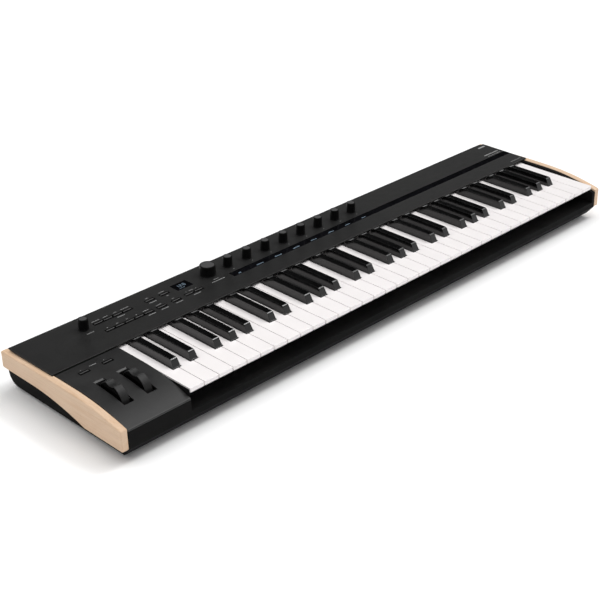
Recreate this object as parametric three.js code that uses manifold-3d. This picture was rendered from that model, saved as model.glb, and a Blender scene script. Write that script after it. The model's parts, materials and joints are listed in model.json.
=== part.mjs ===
// A 61-key synthesizer with pale wooden ends, built as an assembly of named solids.
// Millimetres. X runs from the bass end to the treble end, Y from the player to the back, Z up.
// The origin is under the middle of the instrument, on the surface that its feet stand on.

import * as THREE from 'three';
import { mergeVertices } from 'three/addons/utils/BufferGeometryUtils.js';
import Module from 'manifold-3d';

// ---- Driving dimensions -------------------------------------------------------------------

const WIDTH = 973;
const CHEEK_THICKNESS = 10.5;
const CASE_FRONT = -126.5;
const CASE_REAR = 126.5;
const CASE_BOTTOM = 6.5;
const WALL = 2.5;
const GAP = 0.3;

const KEY_PITCH = 23.5;
const OCTAVE_PITCH = 7 * KEY_PITCH;
const OCTAVES = 5;
const KEY_LEFT = -377.5;
const WHITE_FRONT = -123.5;
const WHITE_TOP = 59;
const WHITE_LIP = 6;
const WHITE_SIDE_GAP = 0.4;
const WHITE_PLATE = 3;
const WHITE_PLATE_END = 30;
const BLACK_SLOT = 13.7;
const BLACK_FRONT = -73.6;
const BLACK_HEIGHT = 11.5;
const BLACK_BASE_WIDTH = 12.2;
const BLACK_TOP_WIDTH = 9.6;
const BLACK_BACK_TOP = 3;
const BLACK_BACK_LOW = 14.5;

const RIB_BOTTOM = 46;
const RIB_TOP = WHITE_TOP - WHITE_PLATE + 1;
const RIB_BACK = 22;
const TAIL_BOTTOM = 44;
const TAIL_TOP = 50;
const COLUMN_FRONT = 57;
const COLUMN_BACK = 61;
const COMB_BAR_FRONT = 62;
const COMB_BAR_BACK = 74;
const COMB_BAR_THICKNESS = 3.5;
const COMB_BAR_LEVELS = { dfa: 36, cegb: 40.5, black: 45 };

const PANEL_WIDTH = 959;
const PANEL_FRONT = 17.3;
const PANEL_REAR = 112.5;
const PANEL_TOP = 65;
const PANEL_THICKNESS = 2.2;

const SHOULDER_TOP = 62.5;
const SHOULDER = { top: SHOULDER_TOP, start: -33.5, radius: 292 };

const CHEEK = {
  lowFront: 20.2,
  lowBack: 36.4,
  rear: 121.5,
  rearTop: 60.8,
  cornerRadius: 3,
  sweepStart: 60,
  sweepRadius: 390,
};
const CHEEK_SHOULDER = { top: SHOULDER_TOP, start: -23, radius: 430 };

const RAIL_TOP = 29.5;
const RAIL_FACE_BOTTOM = 20.5;
const RAIL_LEDGE_BACK = -96;
const REAR_CORNER_RADIUS = 18;

const BLOCK_RIGHT = -379.2;
const TRIM_LEFT = 469.4;

const WHEEL_RADIUS = 24.5;
const WHEEL_WIDTH = 11;
const WHEEL_Y = -61.3;
const WHEEL_Z = 48.8;
const WHEEL_DIP = { angle: 92, half: 19, low: 20.8 };
const AXLE_RADIUS = 3;
const WHEEL_SLOT = { width: 15.2, front: -91.8, back: -34.5 };
const WHEELS = [
  { name: 'pitch_wheel', x: -445.2 },
  { name: 'mod_wheel', x: -410.1 },
];

const BUTTON_LENGTH = 14.6;
const BUTTON_DEPTH = 5.2;
const BUTTON_TOP = 65.9;
const BUTTON_BOTTOM = 60.5;
const BLOCK_BUTTON_DROP = PANEL_TOP - SHOULDER_TOP;
const BUTTON_HOLE_MARGIN = 0.4;
const UPPER_ROW_Y = 82.3;
const LOWER_ROW_Y = 56.4;
const BUTTON_GROUPS = [
  { name: 'upper_button', x: -360.3, y: UPPER_ROW_Y, pitch: 15.9, count: 4 },
  { name: 'lower_button', x: -360.1, y: LOWER_ROW_Y, pitch: 15.9, count: 5 },
  { name: 'edit_button', x: -274.5, y: UPPER_ROW_Y, pitch: 25.3, count: 2 },
  { name: 'cursor_button', x: -274.5, y: LOWER_ROW_Y, pitch: 25.3, count: 2 },
  { name: 'page_button', x: -225.4, y: 57.4, pitch: 16.8, count: 2 },
];
const OCTAVE_BUTTONS = { name: 'octave_button', x: -445.7, y: -2.9, pitch: 35.7, count: 2 };

const KNOB = { radius: 6.5, top: 81, shaft: 3 };
const VALUE_ENCODER = { radius: 11, top: 80.3, shaft: 3 };
const KNOB_Y = 82.4;
const KNOB_BASE = PANEL_TOP + 0.5;
const SHAFT_BOTTOM = 60;
const SHAFT_HOLE_RADIUS = 3.6;
const KNOB_ROW = { x: -133.2, pitch: 36.2, count: 8 };
const VOLUME_X = -383.9;
const VALUE_X = -169.7;
const VALUE_Y = 83.4;

const MAIN_DISPLAY = { x: -217.2, y: 84.2, width: 27.8, depth: 19.1 };
const STRIP = { left: -148.4, front: 50.5, back: 63.5 };

const BOARD_BOTTOM = 53;
const BOARD_TOP = 54.6;
const BODY_TOP = 59.2;
const PANEL_BOARD = { left: -464, neck: -386, right: 134, front: -12, step: 46, back: 100 };
const SWITCH_BODY = { width: 6, depth: 4.8 };
const KNOB_BODY = 12;
const MAIN_BOARD = { left: 80, right: 344, front: 84, thickness: 1.6, belowJacks: 8.5 };

const SHEET = 2;
const TRAY = { front: -92, back: 80 };
const STOP_RAIL = { back: -84, top: 37.5 };
const CONTACT_DECK = { front: -32, back: 12, top: 23.7 };
const HINGE_RAIL = { front: 60, back: 78, top: 34 };
const CONTACT_BOARD = { front: -28, back: 8, thickness: 1.6 };
const CONTACT_STRIP = { front: -16, back: -4, top: 36 };

const FOOT = { radius: 10, x: 425, y: 92, height: CASE_BOTTOM - GAP };

const JACK_Z = 36;
const JACK_SOCKETS = [
  { x: 330, radius: 3.3, depth: 18, width: 15, height: 15 },
  { x: 306, radius: 3.3, depth: 18, width: 15, height: 15 },
  { x: 276, radius: 3.3, depth: 18, width: 15, height: 15 },
  { x: 244, radius: 3.3, depth: 18, width: 15, height: 15 },
  { x: 220, radius: 3.3, depth: 18, width: 15, height: 15 },
  { x: 184, radius: 6.8, depth: 8, width: 19, height: 18 },
  { x: 158, radius: 6.8, depth: 8, width: 19, height: 18 },
  { x: 96, radius: 2.9, depth: 9, width: 10, height: 11 },
];
const USB_PORT = { x: 128, width: 9, height: 3.3, depth: 7 };

// ---- Materials ----------------------------------------------------------------------------

function material(color, roughness, metalness = 0) {
  return new THREE.MeshStandardMaterial({ color, roughness, metalness });
}

const MATERIALS = {
  case: material(0x1d1d1e, 0.6),
  panel: material(0x2b2b2b, 0.5, 0.2),
  wood: material(0xd9c0a0, 0.55),
  white: material(0xf3efee, 0.25),
  black: material(0x0c0c0d, 0.2),
  knob: material(0x1f1f20, 0.7),
  button: material(0x232324, 0.6),
  lens: material(0x050506, 0.08),
  board: material(0x1c4a2c, 0.6),
  steel: material(0x9a9c9e, 0.35, 0.9),
  rubber: material(0x161616, 0.9),
};

// ---- Solids -------------------------------------------------------------------------------

const wasm = await Module();
wasm.setup();

// Turns a closed geometry into a solid that can be joined and cut.
function solid(geometry) {
  const bare = geometry.index ? geometry.toNonIndexed() : geometry.clone();
  bare.deleteAttribute('normal');
  bare.deleteAttribute('uv');
  const merged = mergeVertices(bare, 1e-4);
  return new wasm.Manifold(new wasm.Mesh({
    numProp: 3,
    vertProperties: new Float32Array(merged.attributes.position.array),
    triVerts: new Uint32Array(merged.index.array),
  }));
}

function geometryOf(body) {
  const mesh = body.getMesh();
  const geometry = new THREE.BufferGeometry();
  geometry.setAttribute('position', new THREE.BufferAttribute(mesh.vertProperties, 3));
  geometry.setIndex(new THREE.BufferAttribute(mesh.triVerts, 1));
  geometry.computeVertexNormals();
  return geometry;
}

function joined(solids) {
  return solids.reduce((sum, next) => sum.add(next));
}

function shapeOf(points) {
  return new THREE.Shape(points.map(([a, b]) => new THREE.Vector2(a, b)));
}

// An outline in X and Y, raised from one height to another.
function plate(points, low, high) {
  const options = { depth: high - low, bevelEnabled: false };
  const geometry = new THREE.ExtrudeGeometry(shapeOf(points), options);
  return geometry.translate(0, 0, low);
}

// An outline in Y and Z, carried along X from left to right.
function profile(points, left, right) {
  const options = { depth: right - left, bevelEnabled: false };
  const geometry = new THREE.ExtrudeGeometry(shapeOf(points), options);
  const alongX = new THREE.Matrix4().makeBasis(
    new THREE.Vector3(0, 1, 0),
    new THREE.Vector3(0, 0, 1),
    new THREE.Vector3(1, 0, 0),
  );
  return geometry.applyMatrix4(alongX).translate(left, 0, 0);
}

function box(x0, x1, y0, y1, z0, z1) {
  const geometry = new THREE.BoxGeometry(x1 - x0, y1 - y0, z1 - z0);
  return geometry.translate((x0 + x1) / 2, (y0 + y1) / 2, (z0 + z1) / 2);
}

function rectangle(x, y, width, depth) {
  const halfWidth = width / 2;
  const halfDepth = depth / 2;
  return [
    [x - halfWidth, y - halfDepth],
    [x + halfWidth, y - halfDepth],
    [x + halfWidth, y + halfDepth],
    [x - halfWidth, y + halfDepth],
  ];
}

function circle(x, y, radius, sides) {
  return arc(x, y, radius, 0, 360 - 360 / sides, sides - 1);
}

// Points on an arc, both ends included, with angles in degrees from the first axis.
function arc(x, y, radius, from, to, steps) {
  const points = [];
  for (let i = 0; i <= steps; i += 1) {
    const angle = THREE.MathUtils.degToRad(from + ((to - from) * i) / steps);
    points.push([x + radius * Math.cos(angle), y + radius * Math.sin(angle)]);
  }
  return points;
}

// A rod or bore along Y.
function rodAlongY(x, z, radius, y0, y1, sides) {
  const geometry = new THREE.CylinderGeometry(radius, radius, y1 - y0, sides);
  return geometry.translate(x, (y0 + y1) / 2, z);
}

const instrument = new THREE.Group();
instrument.name = 'synthesizer';

function addPart(name, geometry, finish) {
  const mesh = new THREE.Mesh(geometry, finish);
  mesh.name = name;
  instrument.add(mesh);
  return mesh;
}

// ---- The curved shoulder shared by the ends, the wheel panel and the right trim -----------

// Height of a shoulder: level at the back, then an arc that falls towards the player.
function shoulderHeight(y, { top, start, radius } = SHOULDER) {
  const reach = Math.max(0, start - y);
  return top - (radius - Math.sqrt(radius ** 2 - reach ** 2));
}

// The shoulder line as points from the front to a given Y, lowered by an offset.
function shoulderLine(front, back, drop, shape = SHOULDER) {
  const steps = 9;
  const points = [];
  for (let i = 0; i <= steps; i += 1) {
    const y = front + ((shape.start - front) * i) / steps;
    points.push([y, shoulderHeight(y, shape) - drop]);
  }
  points.push([back, shape.top - drop]);
  return points;
}

// ---- Wooden ends --------------------------------------------------------------------------

function cheekOutline() {
  const { lowFront, lowBack, rear, rearTop, cornerRadius, sweepStart, sweepRadius } = CHEEK;
  const sweepDrop = lowBack - lowFront;
  const sweepEnd = sweepStart - Math.sqrt(sweepRadius ** 2 - (sweepRadius - sweepDrop) ** 2);
  const sweepAngle = THREE.MathUtils.radToDeg(Math.acos(1 - sweepDrop / sweepRadius));
  const top = shoulderLine(CASE_FRONT, PANEL_FRONT, 0, CHEEK_SHOULDER);
  const corner = rear - cornerRadius;
  const rearHigh = arc(corner, rearTop - cornerRadius, cornerRadius, 90, 0, 3);
  const rearLow = arc(corner, lowBack + cornerRadius, cornerRadius, 0, -90, 3);
  const sweep = arc(sweepStart, lowBack - sweepRadius, sweepRadius, 90, 90 + sweepAngle, 10);
  const front = [[sweepEnd, lowFront], [CASE_FRONT, lowFront]];
  return [...top, ...rearHigh, ...rearLow, ...sweep.slice(0, -1), ...front].reverse();
}

function addCheeks() {
  const outer = WIDTH / 2;
  const inner = outer - CHEEK_THICKNESS;
  addPart('left_wood_end', profile(cheekOutline(), -outer, -inner), MATERIALS.wood);
  addPart('right_wood_end', profile(cheekOutline(), inner, outer), MATERIALS.wood);
}

// ---- Lower case ---------------------------------------------------------------------------

const SIDE = WIDTH / 2 - CHEEK_THICKNESS - GAP;
const CHAMFER_BACK = CASE_FRONT + 12;
const PANEL_UNDERSIDE = PANEL_TOP - PANEL_THICKNESS;
const REAR_SHOULDER = [
  [CASE_REAR, 46],
  [CASE_REAR - 2.5, 53],
  [CASE_REAR - 7.5, 58.4],
  [PANEL_REAR + 0.5, PANEL_UNDERSIDE - 0.5],
];
const REAR_SHOULDER_INSETS = [[WALL, 0.6], [2.4, 1.1], [2.1, 2], [0, 2.9]];

function rearCorner(radius) {
  const centreY = CASE_REAR - REAR_CORNER_RADIUS;
  const centreZ = CASE_BOTTOM + REAR_CORNER_RADIUS;
  return arc(centreY, centreZ, radius, -90, 0, 6);
}

// The thin section of the case: front rail with its ledge, floor, rounded corner and back.
function caseSection() {
  const outer = [
    [CASE_FRONT, RAIL_TOP],
    [CASE_FRONT, RAIL_FACE_BOTTOM],
    [CHAMFER_BACK, CASE_BOTTOM],
    ...rearCorner(REAR_CORNER_RADIUS),
    ...REAR_SHOULDER,
  ];
  const innerShoulder = REAR_SHOULDER.map(([y, z], i) => {
    const [back, down] = REAR_SHOULDER_INSETS[i];
    return [y - back, z - down];
  });
  const inner = [
    ...innerShoulder.reverse(),
    ...rearCorner(REAR_CORNER_RADIUS - WALL).reverse(),
    [CHAMFER_BACK + 1.4, CASE_BOTTOM + WALL],
    [CASE_FRONT + WALL, RAIL_FACE_BOTTOM + 0.8],
    [CASE_FRONT + WALL, RAIL_TOP - WALL],
    [RAIL_LEDGE_BACK, RAIL_TOP - WALL],
    [RAIL_LEDGE_BACK, RAIL_TOP],
  ];
  return [...outer, ...inner];
}

// One end wall of the case, up to the underside of what covers it.
function caseEndOutline(drop) {
  const low = [
    [CASE_FRONT, RAIL_FACE_BOTTOM],
    [CHAMFER_BACK, CASE_BOTTOM],
    ...rearCorner(REAR_CORNER_RADIUS),
    ...REAR_SHOULDER,
  ];
  return [...low, ...shoulderLine(CASE_FRONT, PANEL_FRONT, drop).reverse()];
}

function jackHoles() {
  const holes = JACK_SOCKETS.map((jack) => {
    const radius = jack.radius + 0.4;
    return solid(rodAlongY(jack.x, JACK_Z, radius, CASE_REAR - 2 * WALL, CASE_REAR + 1, 12));
  });
  const { x, width, height } = USB_PORT;
  const usb = box(
    x - width / 2, x + width / 2, CASE_REAR - 2 * WALL, CASE_REAR + 1,
    JACK_Z - height / 2, JACK_Z + height / 2,
  );
  return joined([...holes, solid(usb)]);
}

function addCase() {
  const coverDrop = WALL + GAP;
  const blockFrontTop = shoulderHeight(CASE_FRONT) - coverDrop;
  const body = joined([
    solid(profile(caseSection(), -SIDE, SIDE)),
    solid(profile(caseEndOutline(coverDrop), -SIDE, -SIDE + WALL)),
    solid(profile(caseEndOutline(0.8), TRIM_LEFT, SIDE)),
    solid(box(-SIDE, BLOCK_RIGHT, CASE_FRONT, CASE_FRONT + WALL, RAIL_TOP - 1, blockFrontTop)),
  ]);
  addPart('bottom_case', geometryOf(body.subtract(jackHoles())), MATERIALS.case);
}

// ---- Wheel panel on the left --------------------------------------------------------------

function addWheelPanel() {
  const back = PANEL_FRONT - GAP;
  const top = shoulderLine(CASE_FRONT, back, 0);
  const underside = shoulderLine(CASE_FRONT, back, WALL).reverse();
  const sheet = profile([...underside, ...top].reverse(), -SIDE, BLOCK_RIGHT);
  const skirtFront = CASE_FRONT + WALL + GAP;
  const skirtLine = shoulderLine(skirtFront, back, 1).reverse();
  const skirt = profile(
    [[skirtFront, RAIL_TOP + GAP], [back, RAIL_TOP + GAP], ...skirtLine],
    BLOCK_RIGHT - WALL,
    BLOCK_RIGHT,
  );
  const cuts = WHEELS.map(({ x }) => solid(box(
    x - WHEEL_SLOT.width / 2, x + WHEEL_SLOT.width / 2,
    WHEEL_SLOT.front, WHEEL_SLOT.back, 40, 80,
  )));
  const { x, y, pitch, count } = OCTAVE_BUTTONS;
  for (let i = 0; i < count; i += 1) {
    const width = BUTTON_LENGTH / 2 + BUTTON_HOLE_MARGIN;
    const depth = BUTTON_DEPTH / 2 + BUTTON_HOLE_MARGIN;
    const centre = x + i * pitch;
    cuts.push(solid(box(centre - width, centre + width, y - depth, y + depth, 50, 80)));
  }
  const panel = solid(sheet).add(solid(skirt)).subtract(joined(cuts));
  addPart('wheel_panel', geometryOf(panel), MATERIALS.case);
}

// ---- Wheels and their bracket -------------------------------------------------------------

// A disc with a thumb dip at its crown. The dip is an arc through both of its corners on the rim.
function wheelOutline() {
  const { angle, half, low } = WHEEL_DIP;
  const spread = THREE.MathUtils.degToRad(half);
  const chord = WHEEL_RADIUS * Math.sin(spread);
  const depth = WHEEL_RADIUS * Math.cos(spread) - low;
  const dipRadius = (chord * chord + depth * depth) / (2 * depth);
  const dipHalf = THREE.MathUtils.radToDeg(Math.asin(chord / dipRadius));
  const direction = THREE.MathUtils.degToRad(angle);
  const dipY = (low + dipRadius) * Math.cos(direction);
  const dipZ = (low + dipRadius) * Math.sin(direction);
  const dip = arc(dipY, dipZ, dipRadius, angle + 180 - dipHalf, angle + 180 + dipHalf, 8).reverse();
  const rim = arc(0, 0, WHEEL_RADIUS, angle + half, angle + 360 - half, 30);
  return [...dip, ...rim.slice(1, -1)];
}

function addWheels() {
  const disc = solid(profile(wheelOutline(), -WHEEL_WIDTH / 2, WHEEL_WIDTH / 2));
  const bore = solid(profile(circle(0, 0, AXLE_RADIUS + 0.4, 16), -WHEEL_WIDTH, WHEEL_WIDTH));
  const wheel = disc.subtract(bore);
  for (const { name, x } of WHEELS) {
    addPart(name, geometryOf(wheel), MATERIALS.case).position.set(x, WHEEL_Y, WHEEL_Z);
  }
}

function addWheelBracket() {
  const foot = CASE_BOTTOM + WALL + GAP;
  const left = WHEELS[0].x;
  const right = WHEELS[1].x;
  const reach = WHEEL_WIDTH / 2 + 2;
  const wall = 3;
  const uprights = [left - reach - wall, (left + right) / 2 - wall / 2, right + reach];
  const base = box(uprights[0] - 4, uprights[2] + wall + 4, WHEEL_Y - 20, WHEEL_Y + 20, foot, foot + 2);
  const walls = uprights.map((x) => profile(
    [
      [WHEEL_Y - 14, foot + 1],
      [WHEEL_Y + 14, foot + 1],
      [WHEEL_Y + 6, WHEEL_Z + 6],
      [WHEEL_Y - 6, WHEEL_Z + 6],
    ],
    x,
    x + wall,
  ));
  const axle = profile(circle(WHEEL_Y, WHEEL_Z, AXLE_RADIUS, 16), uprights[0] + 1, uprights[2] + wall - 1);
  const bracket = joined([base, ...walls, axle].map(solid));
  addPart('wheel_bracket', geometryOf(bracket), MATERIALS.steel);
}

// ---- Control panel ------------------------------------------------------------------------

function buttonPlaces() {
  const places = [];
  for (const { name, x, y, pitch, count } of BUTTON_GROUPS) {
    for (let i = 0; i < count; i += 1) {
      places.push({ name: `${name}_${i + 1}`, x: x + i * pitch, y });
    }
  }
  return places;
}

function knobPlaces() {
  const places = [
    { name: 'volume_knob', x: VOLUME_X, y: KNOB_Y, knob: KNOB },
    { name: 'value_encoder', x: VALUE_X, y: VALUE_Y, knob: VALUE_ENCODER },
  ];
  for (let i = 0; i < KNOB_ROW.count; i += 1) {
    places.push({ name: `knob_${i + 1}`, x: KNOB_ROW.x + i * KNOB_ROW.pitch, y: KNOB_Y, knob: KNOB });
  }
  return places;
}

function addControlPanel() {
  const right = PANEL_WIDTH / 2;
  const margin = 2 * BUTTON_HOLE_MARGIN;
  // The slot for the display strip is open at the treble end.
  const outline = [
    [-right, PANEL_FRONT],
    [right, PANEL_FRONT],
    [right, STRIP.front],
    [STRIP.left, STRIP.front],
    [STRIP.left, STRIP.back],
    [right, STRIP.back],
    [right, PANEL_REAR],
    [-right, PANEL_REAR],
  ];
  const cut = (points) => solid(plate(points, PANEL_UNDERSIDE - 1, PANEL_TOP + 1));
  const { x, y, width, depth } = MAIN_DISPLAY;
  const holes = [
    cut(rectangle(x, y, width, depth)),
    ...buttonPlaces().map((b) => cut(rectangle(b.x, b.y, BUTTON_LENGTH + margin, BUTTON_DEPTH + margin))),
    ...knobPlaces().map((k) => cut(circle(k.x, k.y, SHAFT_HOLE_RADIUS, 12))),
  ];
  const panel = solid(plate(outline, PANEL_UNDERSIDE, PANEL_TOP)).subtract(joined(holes));
  addPart('control_panel', geometryOf(panel), MATERIALS.panel);
}

function addDisplays() {
  const low = PANEL_UNDERSIDE + 0.1;
  const high = PANEL_TOP - 0.1;
  const { x, y, width, depth } = MAIN_DISPLAY;
  const window = plate(rectangle(x, y, width - 2 * GAP, depth - 2 * GAP), low, high);
  addPart('main_display', window, MATERIALS.lens);
  const strip = box(
    STRIP.left + GAP, PANEL_WIDTH / 2 - GAP, STRIP.front + GAP, STRIP.back - GAP, low, high,
  );
  addPart('knob_display', strip, MATERIALS.lens);
}

// ---- Buttons and knobs --------------------------------------------------------------------

// A bar-shaped button cap with sloping top edges.
function buttonGeometry() {
  const bevel = 0.6;
  const half = BUTTON_DEPTH / 2;
  const section = [
    [-half, BUTTON_BOTTOM],
    [half, BUTTON_BOTTOM],
    [half, BUTTON_TOP - bevel],
    [half - bevel, BUTTON_TOP],
    [-half + bevel, BUTTON_TOP],
    [-half, BUTTON_TOP - bevel],
  ];
  return profile(section, -BUTTON_LENGTH / 2, BUTTON_LENGTH / 2);
}

function addButtons() {
  for (const { name, x, y } of buttonPlaces()) {
    addPart(name, buttonGeometry(), MATERIALS.button).position.set(x, y, 0);
  }
  const { name, x, y, pitch, count } = OCTAVE_BUTTONS;
  for (let i = 0; i < count; i += 1) {
    const button = addPart(`${name}_${i + 1}`, buttonGeometry(), MATERIALS.button);
    button.position.set(x + i * pitch, y, -BLOCK_BUTTON_DROP);
  }
}

// A turned cap with a low skirt, an eased rim and its shaft.
function knobGeometry({ radius, top, shaft }, sides) {
  const rim = 0.6;
  const outline = [
    [0, SHAFT_BOTTOM],
    [shaft, SHAFT_BOTTOM],
    [shaft, KNOB_BASE],
    [radius + 0.3, KNOB_BASE],
    [radius + 0.3, KNOB_BASE + 0.8],
    [radius - 0.1, top - rim],
    [radius - 0.1 - rim, top],
    [0, top],
  ];
  const points = outline.map(([r, z]) => new THREE.Vector2(r, z));
  return new THREE.LatheGeometry(points, sides).rotateX(Math.PI / 2);
}

function addKnobs() {
  for (const { name, x, y, knob } of knobPlaces()) {
    const sides = knob === VALUE_ENCODER ? 24 : 16;
    addPart(name, knobGeometry(knob, sides), MATERIALS.knob).position.set(x, y, 0);
  }
}

// ---- Keys ---------------------------------------------------------------------------------

// Edges of the twelve tails in one octave, measured from its left end.
function tailEdges() {
  const edges = [0];
  for (const naturals of [3, 4]) {
    const tail = (naturals * KEY_PITCH - (naturals - 1) * BLACK_SLOT) / naturals;
    for (let i = 0; i < naturals; i += 1) {
      edges.push(edges.at(-1) + tail);
      if (i < naturals - 1) edges.push(edges.at(-1) + BLACK_SLOT);
    }
  }
  return edges;
}

const TAIL_EDGES = tailEdges();
const WHITE_SEMITONES = [0, 2, 4, 5, 7, 9, 11];
const BLACK_SEMITONES = [1, 3, 6, 8, 10];

// The rib under a key, with its low tail and the column and tab that reach its comb's bar.
function keyRoot(left, right, front, level) {
  const barTop = level + COMB_BAR_THICKNESS;
  const rest = [COMB_BAR_FRONT + 2, barTop];
  const back = barTop < TAIL_TOP ? [rest, [COLUMN_BACK, barTop], [COLUMN_BACK, TAIL_TOP]] : [rest];
  const low = Math.min(level, TAIL_BOTTOM);
  const column = low < TAIL_BOTTOM ? [[COLUMN_FRONT, TAIL_BOTTOM], [COLUMN_FRONT, low]] : [];
  return profile([
    [front, RIB_BOTTOM],
    [RIB_BACK, RIB_BOTTOM],
    [RIB_BACK, TAIL_BOTTOM],
    ...column,
    ...(low < level ? [[COLUMN_BACK, low], [COLUMN_BACK, level]] : []),
    [COMB_BAR_FRONT + 2, level],
    ...back,
    [WHITE_PLATE_END, TAIL_TOP],
    [WHITE_PLATE_END, RIB_TOP],
    [front, RIB_TOP],
  ], left, right);
}

// One white key from its left end x0: a top plate with cut-outs for the black keys, a front
// lip, a rib below and a low tail that runs back under the panel.
function whiteKey(x0, index, level, cutLeft = true, cutRight = true) {
  const semitone = WHITE_SEMITONES[index];
  const left = x0 + index * KEY_PITCH + WHITE_SIDE_GAP;
  const right = x0 + (index + 1) * KEY_PITCH - WHITE_SIDE_GAP;
  const tailLeft = cutLeft ? Math.max(left, x0 + TAIL_EDGES[semitone] + GAP) : left;
  const tailRight = cutRight ? Math.min(right, x0 + TAIL_EDGES[semitone + 1] - GAP) : right;
  const notch = BLACK_FRONT - 1;
  const outline = [[left, WHITE_FRONT], [right, WHITE_FRONT]];
  if (tailRight < right) outline.push([right, notch], [tailRight, notch]);
  outline.push([tailRight, WHITE_PLATE_END], [tailLeft, WHITE_PLATE_END]);
  if (tailLeft > left) outline.push([tailLeft, notch], [left, notch]);
  const under = WHITE_TOP - WHITE_PLATE;
  const ribLeft = tailLeft + 1.5;
  const ribRight = tailRight - 1.5;
  return [
    plate(outline, under, WHITE_TOP),
    box(left, right, WHITE_FRONT, WHITE_FRONT + 2, WHITE_TOP - WHITE_LIP, under + 1),
    keyRoot(ribLeft, ribRight, WHITE_FRONT + 5, level),
  ];
}

// One black key: a long block with a sloping front, a rounded back and tapering sides.
function blackKey(x0, semitone, level) {
  const centre = x0 + (TAIL_EDGES[semitone] + TAIL_EDGES[semitone + 1]) / 2;
  const top = WHITE_TOP + BLACK_HEIGHT;
  const foot = RIB_TOP - 1;
  const backRadius = BLACK_BACK_LOW - BLACK_BACK_TOP;
  const side = [
    [BLACK_FRONT, foot],
    [BLACK_BACK_LOW, foot],
    ...arc(BLACK_BACK_TOP, top - backRadius, backRadius, 0, 90, 5),
    [BLACK_FRONT + 7, top],
    [BLACK_FRONT + 5, top - 1.2],
    [BLACK_FRONT + 0.6, WHITE_TOP + 1],
  ];
  const cap = profile(side, -0.5, 0.5);
  const position = cap.attributes.position;
  for (let i = 0; i < position.count; i += 1) {
    const rise = Math.max(0, position.getZ(i) - WHITE_TOP) / BLACK_HEIGHT;
    const width = THREE.MathUtils.lerp(BLACK_BASE_WIDTH, BLACK_TOP_WIDTH, rise);
    position.setX(i, centre + position.getX(i) * width);
  }
  const half = BLACK_BASE_WIDTH / 2 - 1.5;
  return [
    cap,
    keyRoot(centre - half, centre + half, BLACK_FRONT + 4, level),
  ];
}

function addComb(name, keys, barLeft, barRight, level, finish) {
  const bar = box(barLeft, barRight, COMB_BAR_FRONT, COMB_BAR_BACK, level, level + COMB_BAR_THICKNESS);
  addPart(name, geometryOf(joined([...keys.flat(), bar].map(solid))), finish);
}

function addKeys() {
  const { cegb, dfa, black } = COMB_BAR_LEVELS;
  for (let octave = 0; octave < OCTAVES; octave += 1) {
    const x0 = KEY_LEFT + octave * OCTAVE_PITCH;
    const last = octave === OCTAVES - 1;
    const outer = [0, 2, 4, 6].map((index) => whiteKey(x0, index, cegb));
    if (last) outer.push(whiteKey(x0 + OCTAVE_PITCH, 0, cegb, true, false));
    const end = last ? x0 + OCTAVE_PITCH + KEY_PITCH : x0 + OCTAVE_PITCH;
    addComb(`white_comb_cegb_${octave + 1}`, outer, x0 + 1, end - 1, cegb, MATERIALS.white);
    const inner = [1, 3, 5].map((index) => whiteKey(x0, index, dfa));
    const dfaRight = x0 + 6 * KEY_PITCH;
    addComb(`white_comb_dfa_${octave + 1}`, inner, x0 + KEY_PITCH, dfaRight, dfa, MATERIALS.white);
    const sharps = BLACK_SEMITONES.map((semitone) => blackKey(x0, semitone, black));
    const left = x0 + TAIL_EDGES[1];
    const right = x0 + TAIL_EDGES[11];
    addComb(`black_comb_${octave + 1}`, sharps, left, right, black, MATERIALS.black);
  }
}

// ---- Inside -------------------------------------------------------------------------------

// The pressed keybed frame: floor sheet, front stop rail, contact shelf and hinge rail.
function addKeybed() {
  const left = KEY_LEFT + 1;
  const right = KEY_LEFT + (OCTAVES * 7 + 1) * KEY_PITCH - 1;
  const low = CASE_BOTTOM + WALL + GAP;
  const upright = (front, top) => box(left, right, front, front + SHEET, low, top);
  const shelf = (front, back, top) => box(left, right, front, back, top - SHEET, top);
  const bridge = ({ front, back, top }) => [
    upright(front, top),
    shelf(front + 1, back - 1, top),
    upright(back - SHEET, top),
  ];
  const frame = joined([
    shelf(TRAY.front, TRAY.back, low + SHEET),
    upright(TRAY.front, STOP_RAIL.top),
    shelf(TRAY.front + 1, STOP_RAIL.back, STOP_RAIL.top),
    ...bridge(CONTACT_DECK),
    ...bridge(HINGE_RAIL),
  ].map(solid));
  addPart('keybed_frame', geometryOf(frame), MATERIALS.steel);
  const { front, back, thickness } = CONTACT_BOARD;
  const boardLow = CONTACT_DECK.top + GAP;
  const strip = CONTACT_STRIP;
  const contacts = joined([
    box(left + 2, right - 2, front, back, boardLow, boardLow + thickness),
    box(left + 4, right - 4, strip.front, strip.back, boardLow + 1, strip.top),
  ].map(solid));
  addPart('contact_board', geometryOf(contacts), MATERIALS.board);
}

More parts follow.
